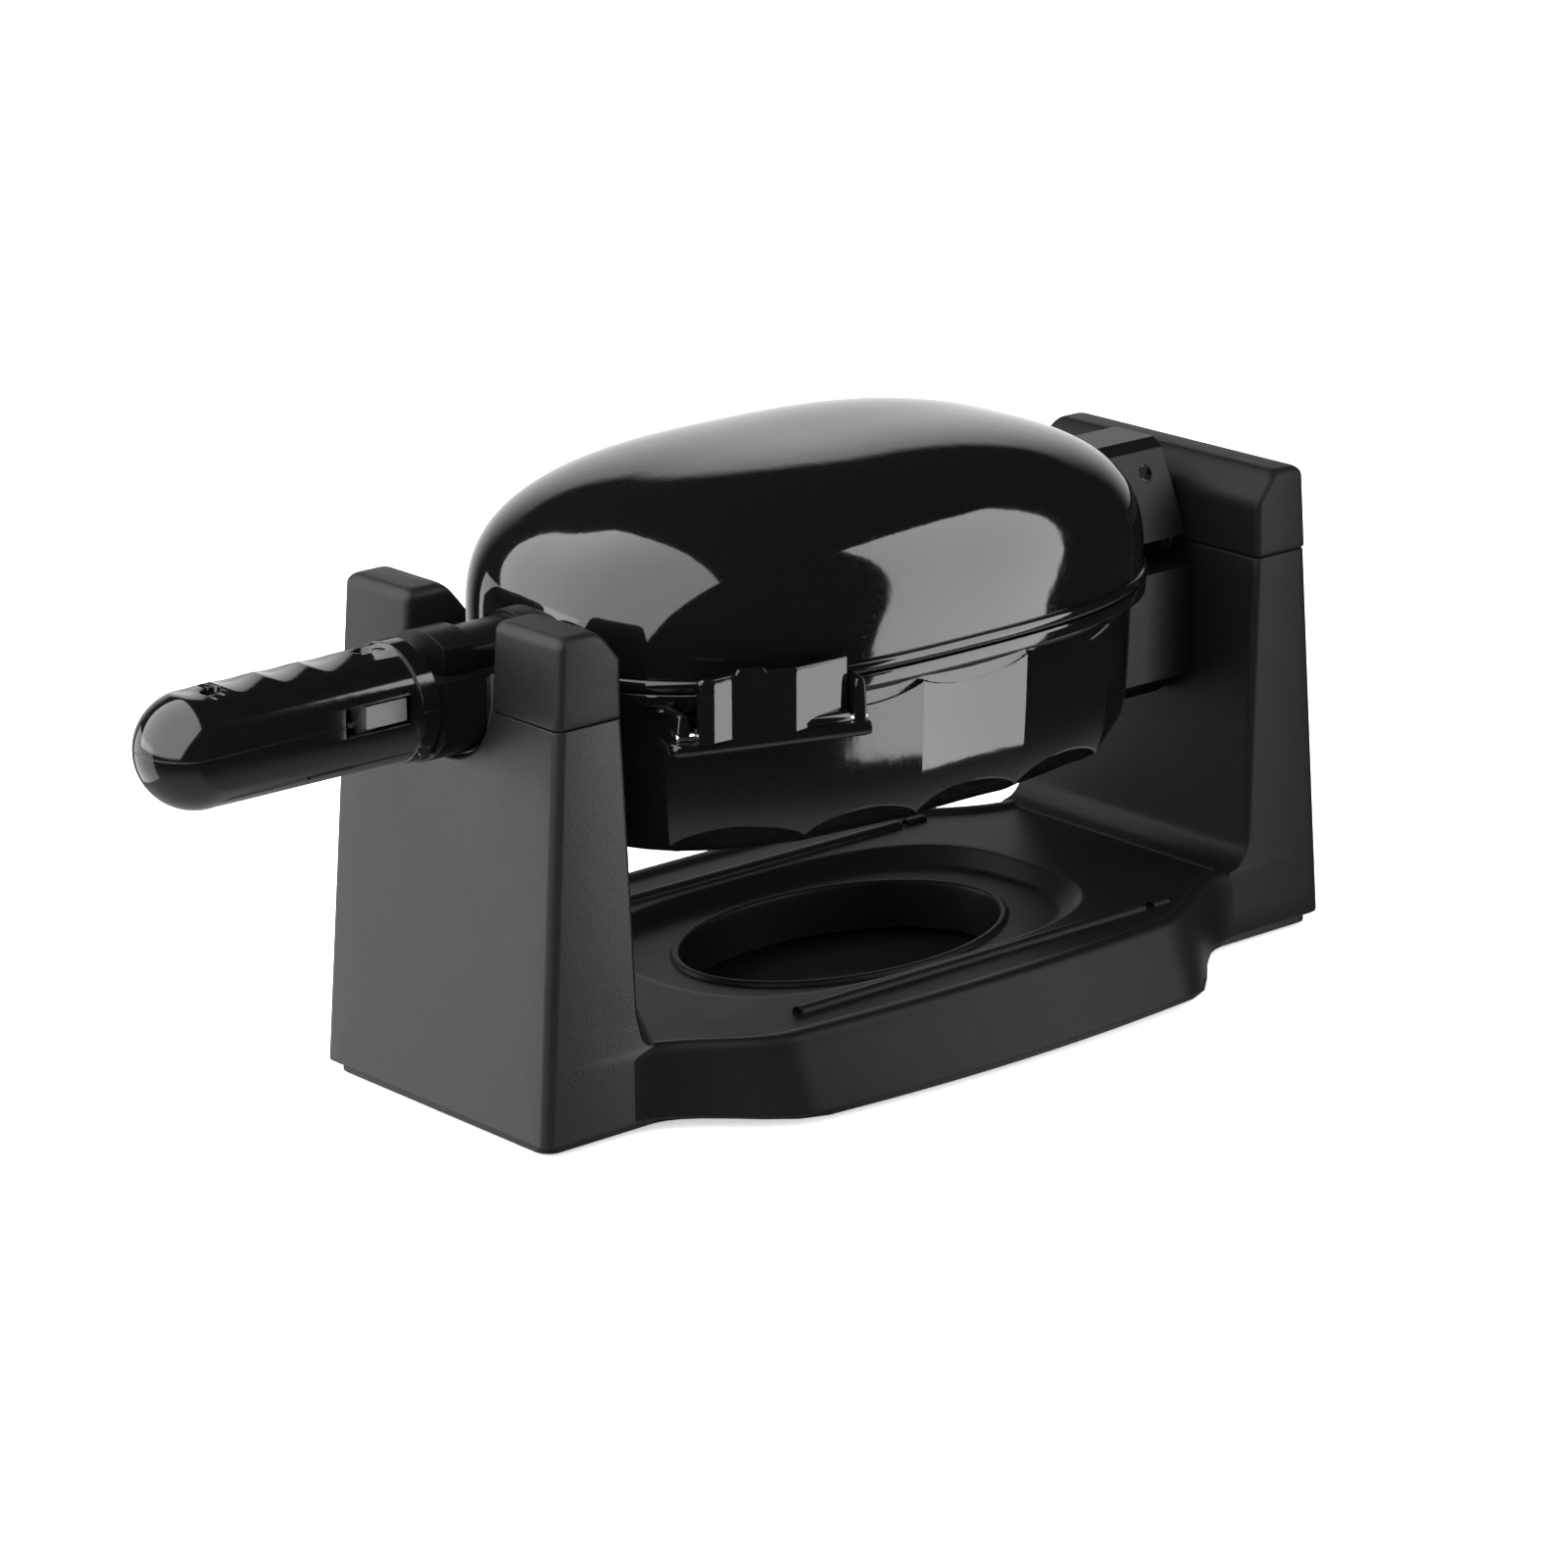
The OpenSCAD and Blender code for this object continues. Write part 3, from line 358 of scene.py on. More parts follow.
def skin(name, rows, body, material, nodes=(), round_=True, caps=(True, True), angle=32.0):
    """Skin over a grid of points in millimetres: each row is joined to the next, each row is
    closed on itself when round_ is set, and an end row is closed by a fan to its mean point."""
    rows = np.asarray(rows, float) * MM
    m, n = rows.shape[:2]
    points = rows.reshape(-1, 3)
    i, j = np.meshgrid(np.arange(m - 1), np.arange(n if round_ else n - 1), indexing="ij")
    k = (j + 1) % n
    quads = np.stack([i * n + j, i * n + k, (i + 1) * n + k, (i + 1) * n + j], -1).reshape(-1, 4)
    faces = quads.tolist()
    for end, capped in zip((0, m - 1), caps):
        if capped:
            centre = len(points)
            points = np.vstack([points, rows[end].mean(0)])
            ring = end * n + np.arange(n)
            after = end * n + (np.arange(n) + 1) % n
            fan = np.stack([np.full(n, centre), ring, after], -1)
            faces += fan.tolist()
    mesh = bpy.data.meshes.new(name)
    mesh.from_pydata(points.tolist(), [], faces)
    work = bmesh.new()
    work.from_mesh(mesh)
    bmesh.ops.remove_doubles(work, verts=work.verts, dist=1e-7)
    bmesh.ops.recalc_face_normals(work, faces=work.faces)
    work.to_mesh(mesh)
    work.free()
    smooth(mesh, angle)
    obj = bpy.data.objects.new(name, mesh)
    bpy.context.scene.collection.objects.link(obj)
    return settle(obj, body, material, nodes)


def superellipse(a, b, power, t):
    """x = a sign(cos t)|cos t|^(2/p) and y = b sign(sin t)|sin t|^(2/p)."""
    c, s = np.cos(t), np.sin(t)
    x = a * np.sign(c) * np.abs(c) ** (2 / power)
    y = b * np.sign(s) * np.abs(s) ** (2 / power)
    return x, y


def even_turns(a, b, power, count, start=0.0):
    """Parameters of count points that are evenly spaced along a superellipse, from a share start
    of its edge onwards."""
    fine = np.linspace(0, 2 * np.pi, 20001)
    x, y = superellipse(a, b, power, fine)
    run = np.concatenate([[0], np.cumsum(np.hypot(np.diff(x), np.diff(y)))])
    want = (start + np.arange(count) / count) % 1.0 * run[-1]
    return np.interp(want, run, fine)


def rings(inset, height, t, centre, half, power):
    """Rings of a superellipse drawn in by inset at height; both may vary along the ring."""
    inset, height = np.broadcast_arrays(np.asarray(inset, float), np.asarray(height, float))
    if inset.ndim == 1:
        inset, height = inset[:, None], height[:, None]
    x, y = superellipse(half[0] - inset, half[1] - inset, power, t[None, :])
    z = np.broadcast_to(height, x.shape)
    return np.stack([x + centre[0], y + centre[1], z + centre[2]], -1)


def ramp(value, low, high):
    """Cosine ramp from 0 at low to 1 at high."""
    u = np.clip((value - low) / (high - low), 0, 1)
    return (1 - np.cos(np.pi * u)) / 2


# ---- Turning body ----

AXIS_Z = 154.0  # height of the turning axis, in the parting plane of the two shells
low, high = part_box("lid_shell")
CENTRE = np.array([(low.x + high.x) / 2 / MM, 0.0, AXIS_Z])
HALF = ((high.x - low.x) / 2 / MM, (high.y - low.y) / 2 / MM)
OVAL = 2.7  # power of the oval plan
LID_TOP = high.z / MM - AXIS_Z + 0.4
DOME = 2.9  # power of the dome's section
DOME_FOOT = 5.0  # height at which the dome stands on the flange
DOME_SET = 1.4  # how far the dome's foot lies behind the flange's edge
LID_WALL = 3.0


def dome_rings(inset, first, last, count, t):
    """Rings of the dome: its plan shrinks by cos^(2/m) as its height grows by sin^(2/m)."""
    u = np.radians(np.linspace(first, last, count))
    s = np.cos(u) ** (2 / DOME)
    z = DOME_FOOT + (LID_TOP - DOME_FOOT - inset) * np.sin(u) ** (2 / DOME)
    a, b = (half - DOME_SET - inset for half in HALF)
    x, y = superellipse(a * s[:, None], b * s[:, None], OVAL, t[None, :])
    z = np.broadcast_to(z[:, None], x.shape)
    return np.stack([x + CENTRE[0], y + CENTRE[1], z + CENTRE[2]], -1)


def lid_surface():
    """Lid from its inner crown down its inner wall, round the flange and up to its outer crown."""
    t = even_turns(*HALF, OVAL, 288)
    flange = [
        (4.4, 0.3), (1.4, 0.3), (0.7, 0.45), (0.25, 0.9), (0.0, 1.6), (-0.05, 2.4), (0.0, 3.2),
        (0.25, 3.9), (0.7, 4.35), (1.3, 4.5), (1.75, 4.55), (1.95, 4.75), (1.7, 4.95),
    ]
    inset, z = np.array(flange).T
    inner = dome_rings(LID_WALL, 89.9, 0.0, 60, t)
    rim = rings(inset, z, t, CENTRE, HALF, OVAL)
    outer = dome_rings(0.0, 0.0, 89.9, 90, t)
    rows = np.concatenate([inner, rim, outer])
    return skin("lid_dome", rows, "lid", SHELL, ["lid_shell"], angle=40)


lid_surface()

FLUTES = 14
PER_FLUTE = 22
FLUTE_SET = 5.0  # how far the line on which the flutes are spaced lies behind the flange's edge
RIDGE_X = -19.0  # place of one ridge on the near side


def flute_start():
    """The share of the oval's edge at which the first ridge stands."""
    fine = np.linspace(0, 2 * np.pi, 20001)
    x, y = superellipse(HALF[0] - FLUTE_SET, HALF[1] - FLUTE_SET, OVAL, fine)
    run = np.concatenate([[0], np.cumsum(np.hypot(np.diff(x), np.diff(y)))])
    near = y < 0
    at = run[near][np.argmin(np.abs(x[near] - RIDGE_X))]
    return (at / run[-1]) % (1 / FLUTES)


def shell_surface():
    """Lower shell from its outer floor up the fluted wall, over its rim and down inside. A flute's
    hollow is 4 s (1 - s) between two ridges, shallow on the flanks and deeper at the ends. Its
    lower edge arches up and its upper edge sags by the same share, and the rows of the wall run
    between these two edges."""
    points = FLUTES * PER_FLUTE
    t = even_turns(HALF[0] - FLUTE_SET, HALF[1] - FLUTE_SET, OVAL, points, flute_start())
    s = (np.arange(points) % PER_FLUTE) / PER_FLUTE
    bow = 4 * s * (1 - s)
    hollow = (1.0 + 1.3 * np.cos(t) ** 2) * bow
    low = -58.0 + 6.5 * bow ** 0.75
    top = -8.6 - 4.6 * bow ** 0.9

    def wall(z):
        """How far a ridge lies behind the flange's edge: it draws in slowly, then fast."""
        u = (-8.0 - z) / 50.0
        return 4.2 + 1.3 * u + 3.0 * u**6

    def row(inset, z):
        return rings([inset], [z], t, CENTRE, HALF, OVAL)[0]

    rows = [row(i + 0 * t, z + 0 * t) for i, z in ((30.0, -64.0), (24.0, -63.9), (21.0, -63.4))]
    bend, bend_z = 19.0, -62.6
    for share in np.linspace(0, 1, 6):
        z = bend_z + (low - 0.5 - bend_z) * share ** 1.5
        rows.append(row(bend + (wall(low) + hollow + 1.1 - bend) * share, z))
    rows.append(row(wall(low) + hollow + 0.3, low - 0.1))
    for share in np.linspace(0.02, 1.0, 30):
        z = low + share * (top - low)
        rows.append(row(wall(z) + hollow, z))
    start = wall(top) + hollow
    for share in (0.06, 0.3, 0.55, 0.8, 1.0):
        z = top + share * (-6.8 - top)
        rows.append(row(start + (5.2 - start) * share**0.8 + 0.25 * (share < 1), z))
    band = [
        (4.2, -6.6), (3.6, -6.0), (2.6, -5.6), (1.6, -5.3), (0.95, -5.0), (0.65, -4.5),
        (0.6, -3.6), (0.6, -1.4), (0.75, -0.7), (1.2, -0.35), (5.8, -0.3), (6.0, -1.0),
        (7.0, -30.0), (12.0, -50.0), (22.0, -58.0), (30.0, -61.0),
    ]
    rows += [row(i + 0 * t, z + 0 * t) for i, z in band]
    nodes = ["lower_shell"]
    return skin("fluted_shell", np.array(rows), "turning_body", SHELL, nodes, angle=8)


shell_surface()


# ---- Stand ----

BASE_X = 58.0  # middle of the base along the axis
BASE_LEN = 383.5
BASE_W = 125.0
BULGE = 204.0  # width of the bulge at the table
BULGE_LEAN = 20.0  # how much narrower the bulge is at its upper edge
SAG_LEN = 0.23 * BASE_LEN
DECK_Z = 30.0
FOOT_Z = 5.05  # lower edge of the housing
EDGE_Z = 27.8  # where the wall goes over into its rounded edge
EDGE_R = 3.9
CAP_Z = 151.0  # seam of the caps
TOP_Z = 183.0
PYLON_LEAN = 12.5
PYLON_LEAN_IN = 5.0
PYLON_DRAFT = 3.0
FRONT_T, REAR_T = 39.0, 37.0  # thickness of the pylons at their feet
CORNER_R = 4.0
NOTCH = 23.3  # radius of the saddle's notch in the front pylon


def half_width(x, bulge, z):
    """Half width of the base: a slow sag over the bulge, then a cosine run-out to the pylons,
    which starts later towards the front. The end faces' draft goes on into the tray."""
    sag = 0.11 * (np.abs(x) / SAG_LEN) ** 2
    out = np.where(x < 0, 1 - ramp(-x, 98, 154), 1 - ramp(x, 80, 146))
    return side_y(z) - 0.12 + ((bulge - BASE_W) / 2 + 1.2) * (1 - sag) * out


def tray_ring(bulge, inset, end, z, count=480):
    """Outline of the tray at a height, evenly spaced, from the middle of its front end."""
    h = BASE_LEN / 2 - end - inset
    r = 6.0
    x = np.linspace(-(h - r), h - r, 400)
    y = half_width(x, bulge, z) - inset
    turn = np.radians(np.linspace(90, 0, 12))
    tip = np.stack([h - r + r * np.cos(turn), y[-1] - r + r * np.sin(turn)], -1)
    half = np.concatenate([tip[::-1] * [-1, 1], np.stack([x, y], -1), tip, [[h, 0.0]]])
    loop = np.concatenate([[[-h, 0.0]], half, (half[:-1] * [1, -1])[::-1], [[-h, 0.0]]])
    run = np.concatenate([[0], np.cumsum(np.hypot(*np.diff(loop, axis=0).T))])
    want = np.linspace(0, run[-1], count, endpoint=False)
    px, py = np.interp(want, run, loop[:, 0]), np.interp(want, run, loop[:, 1])
    return np.stack([px + BASE_X, py, np.full(count, z)], -1)


def oval_ring(a, b, power, z, count=480):
    """Evenly spaced ring of a superellipse on the deck, starting at its front end."""
    t = even_turns(a, b, power, count, 0.5)
    x, y = superellipse(a, b, power, t)
    return np.stack([x + BASE_X, -y, np.full(count, z)], -1)


def tray_surface():
    """Tray from its lower edge up the flared wall, over the rounded rim, across the deck, down
    the dish and over the well's lip."""

    def bulge_at(z):
        return BULGE - BULGE_LEAN * (z - FOOT_Z) / (EDGE_Z - FOOT_Z)

    rows = [tray_ring(BULGE, 0.9, 1.0, FOOT_Z), tray_ring(BULGE, 0.2, 1.0, 5.4)]
    rows += [tray_ring(bulge_at(z), 0.0, 1.0 + 0.068 * z, z) for z in np.linspace(6, EDGE_Z, 10)]
    for a in np.radians(np.linspace(10, 90, 9)):
        inset, z = EDGE_R * (1 - np.cos(a)), EDGE_Z + EDGE_R * np.sin(a)
        rows.append(tray_ring(bulge_at(EDGE_Z), inset, 3.0, z))
    rim = [(5.6, 31.7), (6.6, 31.45), (7.6, 30.9), (8.4, 30.35), (9.4, 30.05), (10.8, DECK_Z)]
    rows += [tray_ring(bulge_at(EDGE_Z), inset, 3.0, z) for inset, z in rim]
    dish_a, dish_b = 96.5, 60.5
    outer, edge = rows[-1], oval_ring(dish_a, dish_b, 3.0, DECK_Z)
    rows += [outer + (edge - outer) * share for share in (0.25, 0.5, 0.75, 0.97)]
    slope = [
        (0, 30.0), (0.6, 29.9), (1.4, 29.4), (5.8, 25.0), (6.6, 24.4), (7.6, 24.08), (9.0, 24.0),
    ]
    rows += [oval_ring(dish_a - a, dish_b - a, 3.0 - 0.02 * a, z) for a, z in slope]
    lip = [
        (3.4, 24.0), (3.2, 24.5), (2.8, 25.1), (2.1, 25.5), (1.2, 25.6), (0.5, 25.3), (0.1, 24.7),
        (0.0, 23.8), (0.0, 18.0), (0.0, 7.0),
    ]
    rows += [oval_ring(69 + a, 44.5 + a, 2.0, z) for a, z in lip]
    # the tray takes the painted-shade copy of the stand's moulding
    return skin(
        "tray", np.array(rows), "stand", SHADED_STAND, ["base_housing"],
        caps=(False, False), angle=40,
    )


def rail(name, x0, x1, y, radius):
    """Half-buried rib on the deck with rounded ends: its radius falls as a circle at each end."""
    u = np.radians(np.concatenate([np.linspace(0, 90, 9), np.linspace(90, 180, 9)]))
    end = 4 * (1 - np.sin(u))
    reach = np.where(np.arange(18) < 9, x0 + end, x1 - end)
    scale = np.sin(u) * 0.999 + 0.001
    around = np.radians(np.linspace(0, 360, 20, endpoint=False))
    x = np.broadcast_to(reach[:, None], (18, 20)) + BASE_X
    side = y + 1.25 * radius * scale[:, None] * np.cos(around)[None, :]
    z = DECK_Z + radius * scale[:, None] * np.sin(around)[None, :]
    # the rails take the painted-shade copy of the stand's moulding, like the deck they stand on
    return skin(name, np.stack([x, side, z], -1), "stand", SHADED_STAND, ())


def outer_x(z):
    """Outer face of a pylon, which leans inwards."""
    return BASE_LEN / 2 - PYLON_LEAN * z / TOP_Z


def inner_x(thick, z):
    """Inner face of a pylon: it leans in below the axis and stands upright above it."""
    fall = np.maximum(0, AXIS_Z - z) / (AXIS_Z - DECK_Z)
    return BASE_LEN / 2 - thick - PYLON_LEAN_IN * fall


def side_y(z):
    """Half width of a pylon at a height."""
    return BASE_W / 2 - PYLON_DRAFT * z / TOP_Z


def foot_fillet(z, radius):
    """How far a pylon's inner face swells towards the deck at a height."""
    rise = np.clip(radius - (np.asarray(z, float) - DECK_Z - 1), 0, radius)
    return radius - np.sqrt(radius**2 - rise**2)


def foot_corner(z):
    """Radius of the corners towards the deck: sharp at the foot and round a little higher."""
    return 0.2 + 2.8 * ramp(z, 32.0, 46.0)


def rounded_ring(x0, x1, y0, y1, radius, z, steps=7, inner_radius=None):
    """Rectangle with rounded corners at a height, as a ring of points. The corners at x0 may
    have a radius of their own."""
    turn = np.radians(np.linspace(0, 90, steps))
    corners = []
    for cx, cy, start in ((x1, y1, 0), (x0, y1, 90), (x0, y0, 180), (x1, y0, 270)):
        r = radius if cx == x1 or inner_radius is None else inner_radius
        dx = -r if cx == x1 else r
        dy = -r if cy == y1 else r
        a = turn + math.radians(start)
        corners.append(np.stack([cx + dx + r * np.cos(a), cy + dy + r * np.sin(a)], -1))
    ring = np.concatenate(corners)
    return np.column_stack([ring, np.full(len(ring), z)])


def cap_rows(thick, near=None, far=None):
    """Rows of a pylon cap from its seam to its top: sides lean, the top edge is rounded, and the
    upper edge towards the body is chamfered. A side without a place of its own follows the
    pylon's."""
    edge_r = 3.8
    profile = [(CAP_Z + 0.25, 0.5), (CAP_Z + 0.7, 0.12), (CAP_Z + 1.4, 0.0)]
    profile += [(z, 0.0) for z in np.linspace(156, 178, 8)]
    for a in np.radians(np.linspace(0, 90, 8)):
        profile.append((TOP_Z - edge_r + edge_r * np.sin(a), edge_r * (1 - np.cos(a))))
    rows = []
    for z, inset in profile:
        chamfer = 9.5 * np.clip((z - 172.0) / (TOP_Z - 172.0), 0, 1)
        y0 = -side_y(z) if near is None else near
        y1 = side_y(z) if far is None else far
        x0, x1 = inner_x(thick, z) + chamfer + 0.4 * inset, outer_x(z) - inset
        rows.append(rounded_ring(x0, x1, y0 + inset, y1 - inset, 2.8, z))
    return np.array(rows)


def rear_pylon_rows():
    """Rows of the rear pylon from its foot to its seam."""
    levels = [(FOOT_Z + 0.05, 0.8), (5.5, 0.2)]
    for stretch in ((6.2, 15.0, 25.0, 30.0), np.linspace(31, 47, 17), np.linspace(52, 150, 12)):
        levels += [(z, 0.0) for z in stretch]
    levels += [(CAP_Z - 0.5, 0.15), (CAP_Z - 0.1, 0.7)]
    rows = []
    for z, inset in levels:
        x0 = inner_x(REAR_T, z) + inset - foot_fillet(z, 9.0)
        y = side_y(z) - inset
        corner = foot_corner(z)
        rows.append(rounded_ring(x0, outer_x(z) - inset, -y, y, CORNER_R, z, inner_radius=corner))
    return np.array(rows)


def front_pylon_rows():
    """Closed loops round the front pylon's wall, carried along a U: each loop runs from the
    saddle's edge out over the front face, round the side and back over the inner face."""
    a = np.radians(np.linspace(187.4, 352.6, 97))
    notch = np.stack([NOTCH * np.cos(a), AXIS_Z + NOTCH * np.sin(a)], -1)
    steps = [np.linspace(CAP_Z - 0.1, 50, 14), np.linspace(46, 31, 16), [25.0, 18.0, 10.0, 5.1]]
    side_z = np.concatenate(steps)
    base_y = np.linspace(-1, 1, 31)[1:-1]

    def outline(draw):
        """The wall's outer edge, drawn in by draw at its sides only."""
        half = side_y(side_z) - draw
        near = np.column_stack([-half, side_z])
        base = np.column_stack([base_y * half[-1], np.full(29, side_z[-1])])
        return np.concatenate([near, base, near[::-1] * [-1, 1]])

    way = outline(0.0) - notch
    way /= np.linalg.norm(way, axis=1)[:, None]
    loops = []

    def put(points, back, depth):
        z = points[:, 1]
        x = inner_x(FRONT_T, z) - foot_fillet(z, 6.0) + depth if back else outer_x(z) - depth
        loops.append(np.column_stack([x, points[:, 0], z]))

    put(notch, False, 2.6)
    for grow, depth in ((0.05, 1.9), (0.3, 1.1), (0.8, 0.45), (1.5, 0.1), (2.2, 0.0)):
        put(notch + way * grow, False, depth)
    for share in (0.35, 0.7):
        put(notch + (outline(CORNER_R) - notch) * share, False, 0.0)
    for q in np.radians(np.linspace(0, 90, 9)):
        put(outline(CORNER_R * (1 - math.sin(q))), False, CORNER_R * (1 - math.cos(q)))
    back = foot_corner(side_z)
    back_all = np.concatenate([back, np.full(29, 0.2), back[::-1]])
    for q in np.radians(np.linspace(90, 0, 9)):
        put(outline(back * (1 - math.sin(q))), True, back_all * (1 - math.cos(q)))
    for share in (0.7, 0.35):
        put(notch + (outline(back) - notch) * share, True, 0.0)
    put(notch + way, True, 0.0)
    put(notch + way * 0.3, True, 0.3)
    put(notch, True, 1.0)
    return np.stack(loops, 1)


def to_front(rows):
    """The same rows mirrored to the front end of the base."""
    rows = rows.copy()
    rows[..., 0] = BASE_X - rows[..., 0]
    return rows


def to_rear(rows):
    """The same rows at the rear end of the base."""
    rows = rows.copy()
    rows[..., 0] += BASE_X
    return rows


tray_surface()
for side, y in (("near", -67.0), ("far", 67.0)):
    rail(f"deck_rail_{side}", -81.0, 90.0, y, 2.2)
    rail(f"deck_pip_{side}", 94.0, 103.0, y, 1.9)
# the rear cap takes the painted-shade copy of the stand's moulding
for name, rows, material, node in (
    ("rear_cap_skin", to_rear(cap_rows(REAR_T)), SHADED_STAND, "rear_cap"),
    ("near_cap_skin", to_front(cap_rows(FRONT_T, far=-NOTCH)), CAP, "front_cap_near"),
    ("far_cap_skin", to_front(cap_rows(FRONT_T, near=NOTCH)), CAP, "front_cap_far"),
):
    skin(name, rows, "stand", material, [node], angle=50)
# the rear pylon takes the painted-shade copy of the stand's moulding; the front pylon keeps the
# stand's own moulding
for name, rows, material in (
    ("rear_pylon", to_rear(rear_pylon_rows()), SHADED_STAND),
    ("front_pylon", to_front(front_pylon_rows()), STAND),
):
    skin(name, rows, "stand", material, ["base_housing"], angle=50)


# ---- Latch ----

LATCH_TURN = math.radians(-18.27)
LATCH_AT = np.array([CENTRE[0] - 85.5, -71.1, AXIS_Z])
LATCH_HALF = 29.0
PIN_Y, PIN_Z = -8.2, -12.0
LEDGE_Z = -15.6


def at_latch(rows):
    """Turns points from the latch's own frame, along the rim with -Y outwards, into place."""
    rows = np.asarray(rows, float)
    c, s = math.cos(LATCH_TURN), math.sin(LATCH_TURN)
    turned = rows.copy()
    turned[..., 0] = rows[..., 0] * c - rows[..., 1] * s
    turned[..., 1] = rows[..., 0] * s + rows[..., 1] * c
    return turned + LATCH_AT


def latch_plate():
    """Finger plate along the rim: a thin closed section carried along a wavy line, whose slope
    is steep over a strip near its left end and over its right third. A low tab stands on top."""
    x = np.linspace(-LATCH_HALF, LATCH_HALF, 117)
    slope = 0.3 * (ramp(x, -25.5, -23.5) - ramp(x, -16.5, -14.5)) + 0.3 * ramp(x, 5.5, 8.0)
    slope -= 0.9 * (1 - ramp(x, -28.6, -27.2)) + 0.02
    wave = np.concatenate([[0], np.cumsum((slope[1:] + slope[:-1]) / 2 * np.diff(x))])
    y = wave - wave[-1] - 6.2
    crown = 9.4 + 1.5 * ramp(x, -14.5, -13.6) * (1 - ramp(x, -4.4, -3.5))
    crown -= 1.0 * (1 - ramp(x, -LATCH_HALF, -27.5))
    turn = np.radians(np.linspace(180, 0, 9))[1:-1]
    thick, foot = 2.2, -13.4
    rows = []
    for px, py, top in zip(x, y, crown):
        side = np.linspace(foot, top - 1.0, 16)
        front = [[px, py, z] for z in side]
        over = [
            [px, py + thick / 2 * (1 + math.cos(a)), top - 1.0 + math.sin(a)] for a in turn
        ]
        back = [[px, py + thick, z] for z in side[::-1]]
        rows.append(front + over + back)
    return skin(
        "latch_plate", at_latch(rows), "latch", SHELL, ["latch_lever"], angle=35
    )


def pin_bar(name, end, middle, sides, body, material, node):
    """Round bar on the pin's line. Its end is a list of places and radii from the tip inwards,
    which its other end mirrors."""
    profile = [(-x, r) for x, r in end] + middle + end[::-1]
    a = np.radians(np.linspace(0, 360, sides, endpoint=False))
    rows = [[[x, PIN_Y + r * math.cos(t), PIN_Z + r * math.sin(t)] for t in a] for x, r in profile]
    return skin(name, at_latch(rows), body, material, [node], angle=50)


def latch_ledge():
    """Ledge under the latch: a flat tongue with a half-round nose, whose ends curve back."""
    sweep = np.radians(np.linspace(90, 0, 12))
    bend = np.sqrt(np.clip(1 - np.linspace(-1, 0, 12) ** 2, 0, 1))
    x = np.concatenate([-31 - 7 * np.sin(sweep), np.linspace(-24, 28, 14), [33.5, 35.6, 36.0]])
    nose = np.concatenate([-8.0 - 5.2 * bend, np.full(14, -13.2), [-13.2, -12.9, -11.8]])
    half = np.concatenate([1.6 + 1.0 * bend, np.full(14, 2.6), [2.6, 2.4, 2.0]])
    turn = np.radians(np.linspace(90, 270, 15))
    rows = []
    for px, py, h in zip(x, nose, half):
        back = 4.0 + 3.0 * (1 - (px / 36) ** 2)
        mid = (back + py) / 2
        low, top = LEDGE_Z - h, LEDGE_Z + h
        tip = [
            [px, py + 0.9 * h * (1 + math.cos(a)), LEDGE_Z + h * math.sin(a)] for a in turn
        ]
        rows.append([[px, back, top], [px, mid, top]] + tip + [[px, mid, low], [px, back, low]])
    return skin(
        "latch_ledge", at_latch(rows), "turning_body", SHELL, ["latch_bracket"],
        angle=35,
    )


def latch_cheek(name, x0, x1, front, top):
    """Cheek at an end of the latch: a block with rounded edges that narrows upwards."""
    levels = [(LEDGE_Z, 0.0), (-8.0, 0.0), (top - 3.0, 0.3)]
    levels += [(top - 1.0, 0.5), (top - 0.3, 0.8), (top, 1.4)]
    rows = [rounded_ring(x0 + d, x1 - d, front + d, 5.0, 1.0, z) for z, d in levels]
    return skin(
        name, at_latch(rows), "turning_body", SHELL, ["latch_bracket"], angle=45
    )


latch_plate()
pin_bar(
    "latch_barrel", [(28.9, 1.9), (28.7, 2.5), (28.2, 2.8)], [(0.0, 2.8)], 32,
    "latch", SHELL, "latch_lever",
)
pin_bar(
    "latch_rod", [(35.6, 0.9), (35.4, 1.2), (35.0, 1.5)], [], 24,
    "turning_body", GROUND, "latch_pin",
)
latch_ledge()
latch_cheek("latch_cheek_front", -35.2, -30.4, -9.6, -4.0)
latch_cheek("latch_cheek_rear", 30.2, 35.0, -10.2, 2.0)


# ---- Carried-over nodes ----


def refined(node, material, angle=30.0):
    """A merged copy of a node with smooth shading, so that its round faces read as round."""
    source = frame["nodes"][node]
    obj = source.copy()
    obj.data = source.data.copy()
    for key in list(obj.keys()):
        if key.startswith("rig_"):
            del obj[key]
    obj.name = node + "_skin"
    obj.parent = None
    bpy.context.scene.collection.objects.link(obj)
    work = bmesh.new()
    work.from_mesh(obj.data)
    bmesh.ops.remove_doubles(work, verts=work.verts, dist=2e-6)
    flat = math.radians(0.4)
    bmesh.ops.dissolve_limit(work, angle_limit=flat, verts=work.verts, edges=work.edges)
    work.to_mesh(obj.data)
    work.free()
    smooth(obj.data, angle)
    return settle(obj, source["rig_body"], material, [node])


for node, material, slot in (
    ("lower_neck", HINGE, "hinge_gloss"),
    ("lid_neck", HINGE, "hinge_gloss"),
    ("lower_hinge_box", HINGE, "hinge_gloss"),
    ("upper_hinge_box", HINGE, "hinge_gloss"),
    ("grip_upper", GRIP, "grip_gloss"),
    ("grip_lower", GRIP, "grip_gloss"),
    ("under_plate", UNDER, "under_black"),
):
    refined(node, material)


